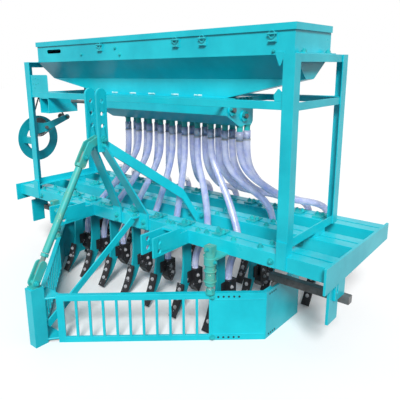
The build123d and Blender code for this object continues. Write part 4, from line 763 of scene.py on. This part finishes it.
# Chain drive: oiled steel shafts and sprockets, and two roller chains made link by link along the same
# loops as the CAD's bands. Outer and inner plates alternate, with a roller at each pin.
oiled_steel = coated_steel(
    "oiled_steel", (0.16, 0.165, 0.17), (0.09, 0.085, 0.08), (0.42, 0.43, 0.44),
    patch_scale=22.0, chip_scale=120.0, chips=0.45, gloss=0.25, bump=0.3,
)
dress(oiled_steel, 0.0, "feed_shaft_front", "feed_shaft_rear", "countershaft", "idler")
# A darker copy of the turquoise enamel: painted shade on the drive plate, chain guard and tine shanks.
turquoise_painted_shade = coated_steel(
    "turquoise_enamel_painted_shade", (0.005, 0.44, 0.52), (0.003, 0.32, 0.40), (0.30, 0.38, 0.38),
    patch_scale=5.0, chip_scale=70.0, chips=0.28, gloss=0.30, bump=0.2,
)
dress(turquoise_painted_shade, 0.0, "drive_plate", "chain_guard")
chain_pitch = 0.0127
idler_seat = (bar_face + 0.292, bar_under + 0.512)
counter_seat = (bar_face + 0.120, bar_under + 0.458)
chain_loops = (
    (-1.000, ((*feed_front, 0.050), (*idler_seat, 0.026), (*counter_seat, 0.064))),
    (-0.421, ((*feed_front, 0.036), (*feed_rear, 0.036))),
)


def loop_points(circles, pitch):
    rim = []
    for y, z, radius in circles:
        for step in range(360):
            turn = math.radians(step)
            rim.append(Vector((y + radius * math.cos(turn), z + radius * math.sin(turn))))
    rim.sort(key=lambda p: (p.x, p.y))
    hull = []
    for ordered in (rim, rim[::-1]):
        taut = []
        for point in ordered:
            while len(taut) > 1 and (taut[-1] - taut[-2]).cross(point - taut[-1]) <= 0:
                taut.pop()
            taut.append(point)
        hull += taut[:-1]
    total = sum((hull[k] - hull[k - 1]).length for k in range(len(hull)))
    count = 2 * round(total / pitch / 2)
    gap = total / count
    places, along, reach = [], 0.0, 0.0
    for k in range(len(hull)):
        here, there = hull[k], hull[(k + 1) % len(hull)]
        edge = (there - here).length
        while reach <= along + edge + 1e-9 and len(places) < count:
            places.append(here + (there - here) * ((reach - along) / edge))
            reach += gap
        along += edge
    return places


def add_prism(shape, outline, left, right):
    near = [shape.verts.new((left, point.x, point.y)) for point in outline]
    far = [shape.verts.new((right, point.x, point.y)) for point in outline]
    shape.faces.new(near)
    shape.faces.new(far[::-1])
    for j in range(len(outline)):
        after = (j + 1) % len(outline)
        shape.faces.new((near[j], far[j], far[after], near[after]))


plate_half = 0.0005
inner_spread = 0.0024
outer_spread = 0.0034
plate_tip = 0.0012
plate_waist = 0.0034
plate_slope = 0.0024
pin_lap = 0.0030
roller_radius = 0.0028
roller_half = 0.0019
chain_shape = bmesh.new()
for loop_x, circles in chain_loops:
    pins = loop_points(circles, chain_pitch)
    for k, pin in enumerate(pins):
        after = pins[(k + 1) % len(pins)]
        along = (after - pin).normalized()
        out = Vector((-along.y, along.x))
        middle = (pin + after) / 2
        half = (after - pin).length / 2 + pin_lap
        upper = ((half, plate_tip), (half - plate_slope, plate_waist))
        upper += ((plate_slope - half, plate_waist), (-half, plate_tip))
        corners = upper + tuple((a, -b) for a, b in upper[::-1])
        plate = [middle + along * a + out * b for a, b in corners]
        spread = outer_spread if k % 2 else inner_spread
        for plate_x in (loop_x - spread, loop_x + spread):
            add_prism(chain_shape, plate, plate_x - plate_half, plate_x + plate_half)
        eighths = [eighth * math.pi / 4 for eighth in range(8)]
        roller = [pin + Vector((math.cos(turn), math.sin(turn))) * roller_radius for turn in eighths]
        add_prism(chain_shape, roller, loop_x - roller_half, loop_x + roller_half)
bmesh.ops.recalc_face_normals(chain_shape, faces=chain_shape.faces)
chain_mesh = bpy.data.meshes.new("roller_chains")
chain_shape.to_mesh(chain_mesh)
chain_shape.free()
roller_chains = bpy.data.objects.new("roller_chains", chain_mesh)
bpy.context.collection.objects.link(roller_chains)
settle(roller_chains, "roller_chains", oiled_steel)
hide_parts("drive_chains")

# Three-point hitch: two slotted clevises on the front toolbar, a pair of mast plates on leaning struts
# and a long flat brace to the middle toolbar, all flame-cut plate with bolted feet.
dress(turquoise, 0.0015, "lower_hitches", "masts", "mast_brace", "nose_brace", "nose_post")
mast_front = bar_face - 0.200
mast_side = 0.0461
mast_pin_z = bar_under + 0.498
strut_foot_x = 0.104
strut_foot_face = bar_face - 0.0122
brace_foot_face = bar_face + 0.2598
brace_x = 0.052
brace_top = bar_top + 0.008
mast_bolt_places = [((mast_side, mast_front, z), (1, 0, 0)) for z in (mast_pin_z, mast_pin_z - 0.028)]
mast_bolt_places += [
    ((side * strut_foot_x, strut_foot_face, bar_under + rise), (0, -1, 0))
    for side in (-1, 1)
    for rise in (0.022, 0.050)
]
mast_bolt_places += [((x, brace_foot_face, bar_under + 0.050), (0, -1, 0)) for x in (0.196, 0.276)]
mast_bolt_places += [((brace_x, bar_face + back, brace_top), (0, 0, 1)) for back in (-0.022, 0.030)]
set_out(painted_bolt, "mast_bolts", mast_bolt_places, bolt_steel)
link_pin = hex_bolt(0.030, 0.012, 0.040)
link_pin_places = [((side * mast_side, mast_front, mast_pin_z), (side, 0, 0)) for side in (1, -1)]
set_out(link_pin, "top_link_pin_heads", link_pin_places, bolt_steel)
put_away(link_pin)
strut_weld_x = 0.0735
strut_weld_y = bar_face - 0.0125
sides = (("left", -1), ("right", 1))
for word, side in sides:
    weld_bead(
        f"strut_weld_{word}", (side * strut_weld_x, strut_weld_y, bar_under + 0.012),
        (side * strut_weld_x, strut_weld_y, bar_under + 0.064), 0.006, turquoise,
    )

# Turnbuckle: a threaded strut from the mast down to the nose post. A long tube with a lock nut and a
# bare screw at each end hangs on a bent fork from the mast's pin, and stands with a second fork on the
# nose post. The greenish paint is worn through on the tube.
worn_green = coated_steel(
    "worn_green_paint", (0.03, 0.50, 0.50), (0.10, 0.42, 0.34), (0.62, 0.70, 0.62),
    patch_scale=14.0, chip_scale=90.0, chips=0.62, gloss=0.28, bump=0.35,
)
screw_steel = coated_steel(
    "screw_steel", (0.34, 0.40, 0.38), (0.16, 0.30, 0.28), (0.60, 0.62, 0.60),
    patch_scale=24.0, chip_scale=140.0, chips=0.6, gloss=0.25, bump=0.3,
)
mast_pin = Vector((0, mast_front, mast_pin_z))
strut_top = Vector((0, bar_face - 0.246, mast_pin_z))
strut_low = Vector((0, bar_face - 0.607, bar_under - 0.102))
strut_run = strut_low - strut_top
upper_nut = strut_top + strut_run * 0.196
lower_nut = strut_top + strut_run * 0.804


def screw_rod(name, start, end, radius, pitch, depth):
    length = (end - start).length
    turns = max(3, int(length / pitch))

    def width_at(share):
        groove = round(share * 2 * turns) % 2 and abs(share - 0.5) < 0.499
        return 1 - depth / radius if groove else 1

    rod = ringed_cylinder(20, radius, length, 2 * turns - 1, width_at)
    lay_along(rod, start, end, "X")
    return settle(rod, name, screw_steel)


screw_rod("strut_screw_upper", strut_top + strut_run * 0.09, upper_nut, 0.0122, 0.003, 0.0012)
screw_rod("strut_screw_lower", lower_nut, strut_top + strut_run * 0.95, 0.0122, 0.003, 0.0012)


def fork_cheek(path, half_width, near, far):
    path = [Vector((point.y, point.z)) for point in path]
    left, right = [], []
    for k, point in enumerate(path):
        way = (path[min(k + 1, len(path) - 1)] - path[max(k - 1, 0)]).normalized()
        left.append(point + Vector((-way.y, way.x)) * half_width)
        right.append(point - Vector((-way.y, way.x)) * half_width)
    ends = []
    for tip, inward in ((path[-1], path[-2]), (path[0], path[1])):
        way = (tip - inward).normalized()
        turn = math.atan2(way.y, way.x)
        arc = [turn + step for step in (1.2, 0.8, 0.4, 0, -0.4, -0.8, -1.2)]
        ends.append([tip + Vector((math.cos(angle), math.sin(angle))) * half_width for angle in arc])
    outline = left + ends[0] + right[::-1] + ends[1]
    return cut_plate([(near, point.x, point.y) for point in outline], (far - near, 0, 0), 0.0012)


cheek_inside = 0.0132
cheek_outside = 0.0212
upper_fork_path = [mast_pin] + [strut_top + strut_run * share for share in (0.035, 0.100, 0.178)]
lower_fork_path = [strut_low, strut_top + strut_run * 0.880]
strut_parts = []
for side in (-1, 1):
    strut_parts.append(fork_cheek(upper_fork_path, 0.0185, side * cheek_inside, side * cheek_outside))
    strut_parts.append(fork_cheek(lower_fork_path, 0.0200, side * cheek_inside, side * cheek_outside))
bpy.ops.object.select_all(action="DESELECT")
bpy.ops.mesh.primitive_cylinder_add(vertices=28, radius=0.0170, depth=strut_run.length * 0.60)
strut_tube = bpy.context.active_object
soften(strut_tube, 0.003, segments=3)
lay_along(strut_tube, strut_top, strut_low, "X")
for spot, half in ((mast_pin, 0.0338), (strut_low, 0.0262)):
    bpy.ops.mesh.primitive_cylinder_add(
        vertices=20, radius=0.0095, depth=half * 2, location=spot, rotation=(0, math.radians(90), 0)
    )
    strut_parts.append(bpy.context.active_object)
bpy.ops.mesh.primitive_cube_add(size=1.0, location=(0, strut_low.y, strut_low.z - 0.0190))
foot_plate = bpy.context.active_object
foot_plate.dimensions = (0.044, 0.044, 0.006)
bpy.ops.object.transform_apply(location=False, rotation=False, scale=True)
strut_parts.append(foot_plate)
join_onto(strut_tube, strut_parts)
turnbuckle_strut = settle(strut_tube, "turnbuckle_strut", worn_green)
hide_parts("turnbuckle")
fork_bolt_places = [
    (spot + Vector((side * cheek_outside, 0, 0)), (side, 0, 0))
    for spot in (strut_top + strut_run * 0.128, strut_low)
    for side in (-1, 1)
]
set_out(painted_bolt, "strut_fork_bolts", fork_bolt_places, bolt_steel)
lock_nut = hex_bolt(0.040, 0.014, 0.036)
lock_nut_places = [(upper_nut, -strut_run), (lower_nut, strut_run)]
set_out(lock_nut, "strut_lock_nuts", lock_nut_places, worn_green)
put_away(lock_nut)

# V leveller: a nose post, two barred arms of welded flat bar, plain corner sheets and straight wings
# with a rolled top flange. The corner sheet is bolted on through rows of spare holes.
dress(turquoise, 0.0012, "leveller_grilles", "leveller_panels")
dress(oiled_steel, 0.0012, "wing_supports")
wing_side = 0.785
arm_start = Vector((0.030, bar_face - 0.573, 0))
arm_corner = Vector((wing_side, bar_face + 0.088, 0))
arm_way = (arm_corner - arm_start).normalized()
arm_out = Vector((arm_way.y, -arm_way.x, 0))
arm_rise = 0.238
sheet_start = 0.762
sheet_end = 1.000
hole_dark, nodes, links, shader = new_material("open_hole_shadow")
cloudy_colour(nodes, links, shader, 300.0, (0.0, (0.004, 0.012, 0.014)), (1.0, (0.010, 0.030, 0.034)))
shader.inputs["Roughness"].default_value = 0.9
bpy.ops.mesh.primitive_cylinder_add(vertices=18, radius=0.0050, depth=0.0008)
spare_hole = bpy.context.active_object
pick_faces(spare_hole, (0, 0, 1))
bpy.ops.mesh.inset(thickness=0.0008)
bpy.ops.transform.translate(value=(0, 0, -0.0003))
bpy.ops.object.mode_set(mode="OBJECT")


def on_arm(side, along, rise, proud=0.0):
    spot = arm_start + arm_way * along + arm_out * proud
    return side * spot.x, spot.y, rise


wing_hole_y = bar_face + 0.120
hole_places = []
sheet_bolt_places = []
for word, side in sides:
    arm_facing = (side * arm_out.x, arm_out.y, 0)
    for rise in (0.015, arm_rise - 0.017):
        hole_places += [(on_arm(side, 0.785 + 0.024 * k, rise), arm_facing) for k in range(5)]
        hole_places += [((side * wing_side, wing_hole_y + 0.018 * k, rise), (side, 0, 0)) for k in range(4)]
        sheet_bolt_places.append((on_arm(side, 0.757, rise), arm_facing))
set_out(spare_hole, "sheet_spare_holes", hole_places, hole_dark)
put_away(spare_hole)
set_out(painted_bolt, "sheet_bolts", sheet_bolt_places, bolt_steel)
seam_inset = 0.031
for word, side in sides:
    for level, rise in (("upper", arm_rise - seam_inset), ("lower", seam_inset)):
        seam_start = on_arm(side, sheet_start, rise, 0.0003)
        seam_end = on_arm(side, sheet_end, rise, 0.0003)
        weld_bead(f"sheet_seam_{level}_{word}", seam_start, seam_end, 0.0035, turquoise)
    corner_x = side * (wing_side + 0.0002)
    corner_y = bar_face + 0.089
    weld_bead(
        f"sheet_corner_seam_{word}", (corner_x, corner_y, 0.006), (corner_x, corner_y, arm_rise - 0.006),
        0.005, turquoise,
    )

# Screw jacks: each stands on a leveller arm and hangs from a lug on the front toolbar. A square tube
# head sits over a round barrel with a bolted collar, a threaded screw and a foot nut.
dress(worn_green, 0.0, "jacks")
jack_x = 0.591
jack_y = bar_face - 0.079
for word, side in sides:
    screw_foot = Vector((side * jack_x, jack_y, 0.2445))
    screw_top = Vector((side * jack_x, jack_y, bar_under - 0.1305))
    screw_rod(f"jack_screw_{word}", screw_foot, screw_top, 0.0152, 0.004, 0.0016)
foot_nut = hex_bolt(0.040, 0.016, 0.040)
foot_nut_places = [((side * jack_x, jack_y, 0.2442), (0, 0, 1)) for side in (-1, 1)]
set_out(foot_nut, "jack_foot_nuts", foot_nut_places, worn_green)
put_away(foot_nut)
bpy.ops.mesh.primitive_torus_add(
    major_radius=0.0262, minor_radius=0.0035, major_segments=28, minor_segments=8
)
barrel_ring = bpy.context.active_object
ring_places = [
    ((side * jack_x, jack_y, bar_under + rise), (0, 0, 1))
    for side in (-1, 1)
    for rise in (-0.110, -0.060, -0.028, 0.002)
]
set_out(barrel_ring, "jack_barrel_rings", ring_places, worn_green)
put_away(barrel_ring)
collar_bolt_places = [
    ((side * jack_x + 0.0288, jack_y - 0.004, bar_under - 0.013), (1, -0.15, 0)) for side in (-1, 1)
]
collar_bolt_places += [((side * jack_x, jack_y - 0.0198, bar_under + 0.045), (0, -1, 0)) for side in (-1, 1)]
set_out(small_bolt, "jack_collar_bolts", collar_bolt_places, bolt_steel)

# Tines: curved flat spring-steel shanks clamped up through the toolbar slots, with black shovels bolted
# on their front edges and black seed boots behind. Soil has scratched the black paint to bare iron.
# The shanks take the darker copy of the turquoise enamel as painted shade.
dress(turquoise_painted_shade, 0.001, "tine_shanks")
scratched_black = coated_steel(
    "scratched_black_iron", (0.012, 0.012, 0.014), (0.022, 0.022, 0.026), (0.50, 0.50, 0.54),
    patch_scale=20.0, chip_scale=85.0, chips=0.70, gloss=0.30, bump=0.5,
)
dress(scratched_black, 0.0008, "shovels", "seed_boots")
bright_bolt = coated_steel(
    "bright_bolt_steel", (0.50, 0.51, 0.53), (0.32, 0.33, 0.35), (0.70, 0.71, 0.72),
    patch_scale=40.0, chip_scale=180.0, chips=0.4, gloss=0.3, bump=0.3,
)
front_slot = bar_face + 0.064
rear_tine_xs = (-0.940, -0.760, -0.580, -0.390, -0.214, -0.023, 0.186, 0.372, 0.540, 0.675, 0.790)
tine_rows = (
    (front_slot, (-0.560, -0.398, -0.222, -0.035, 0.141, 0.332, 0.545)),
    (front_slot + bar_step, (-0.700, 0.560)),
    (front_slot + 2 * bar_step, rear_tine_xs),
)
tine_spots = [(x, slot_y) for slot_y, xs in tine_rows for x in xs]
bend_radius = 0.4831
bend_height = bar_under - 0.120
bolt_reach = bend_radius - 0.008
boot_side = 0.0262
shovel_bolt_places = []
boot_bolt_places = []
for x, slot_y in tine_spots:
    bend_y = slot_y - 0.030 - bend_radius
    for turn in (math.radians(18.0), math.radians(23.5), math.radians(29.0)):
        across, down = math.cos(turn), math.sin(turn)
        spot = (x, bend_y + bolt_reach * across, bend_height - bolt_reach * down)
        shovel_bolt_places.append((spot, (0, -across, down)))
    for side in (-1, 1):
        for back, drop in ((0.056, 0.222), (0.070, 0.262)):
            boot_bolt_places.append(((x + side * boot_side, slot_y + back, bar_under - drop), (side, 0, 0)))
set_out(small_bolt, "shovel_bolts", shovel_bolt_places, bright_bolt)
set_out(small_bolt, "boot_bolts", boot_bolt_places, bright_bolt)

# Tine clamps: a flat plate over the slot with two hex bolts. They are painted in place, and spanners
# have rubbed the paint off the bolt heads.
clamp_thickness = 0.008
bpy.ops.mesh.primitive_cube_add(size=1.0, location=(0, 0, clamp_thickness / 2))
clamp = bpy.context.active_object
clamp.dimensions = (0.050, 0.086, clamp_thickness)
bpy.ops.object.transform_apply(location=True, rotation=True, scale=True)
bpy.ops.object.mode_set(mode="EDIT")
bpy.ops.mesh.select_all(action="SELECT")
bpy.ops.mesh.bevel(offset=0.0016, segments=2, affect="EDGES")
bpy.ops.object.mode_set(mode="OBJECT")
clamp_bolt_seat = clamp_thickness - 0.0004
clamp_bolt_poses = [
    Matrix.Translation((x, 0, clamp_bolt_seat)) @ Matrix.Rotation(turn, 4, "Z")
    for x, turn in ((-0.015, 0.165), (0.015, 0.435))
]
join_onto(clamp, copies_at(painted_bolt, clamp_bolt_poses))
clamp_places = [((x, slot_y, bar_top), (0, 0, 1)) for x, slot_y in tine_spots]
clamp_plates = set_out(clamp, "clamp_plates", clamp_places, bolt_steel)
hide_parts("tine_clamps")
for pattern in (clamp, painted_bolt, small_bolt):
    put_away(pattern)
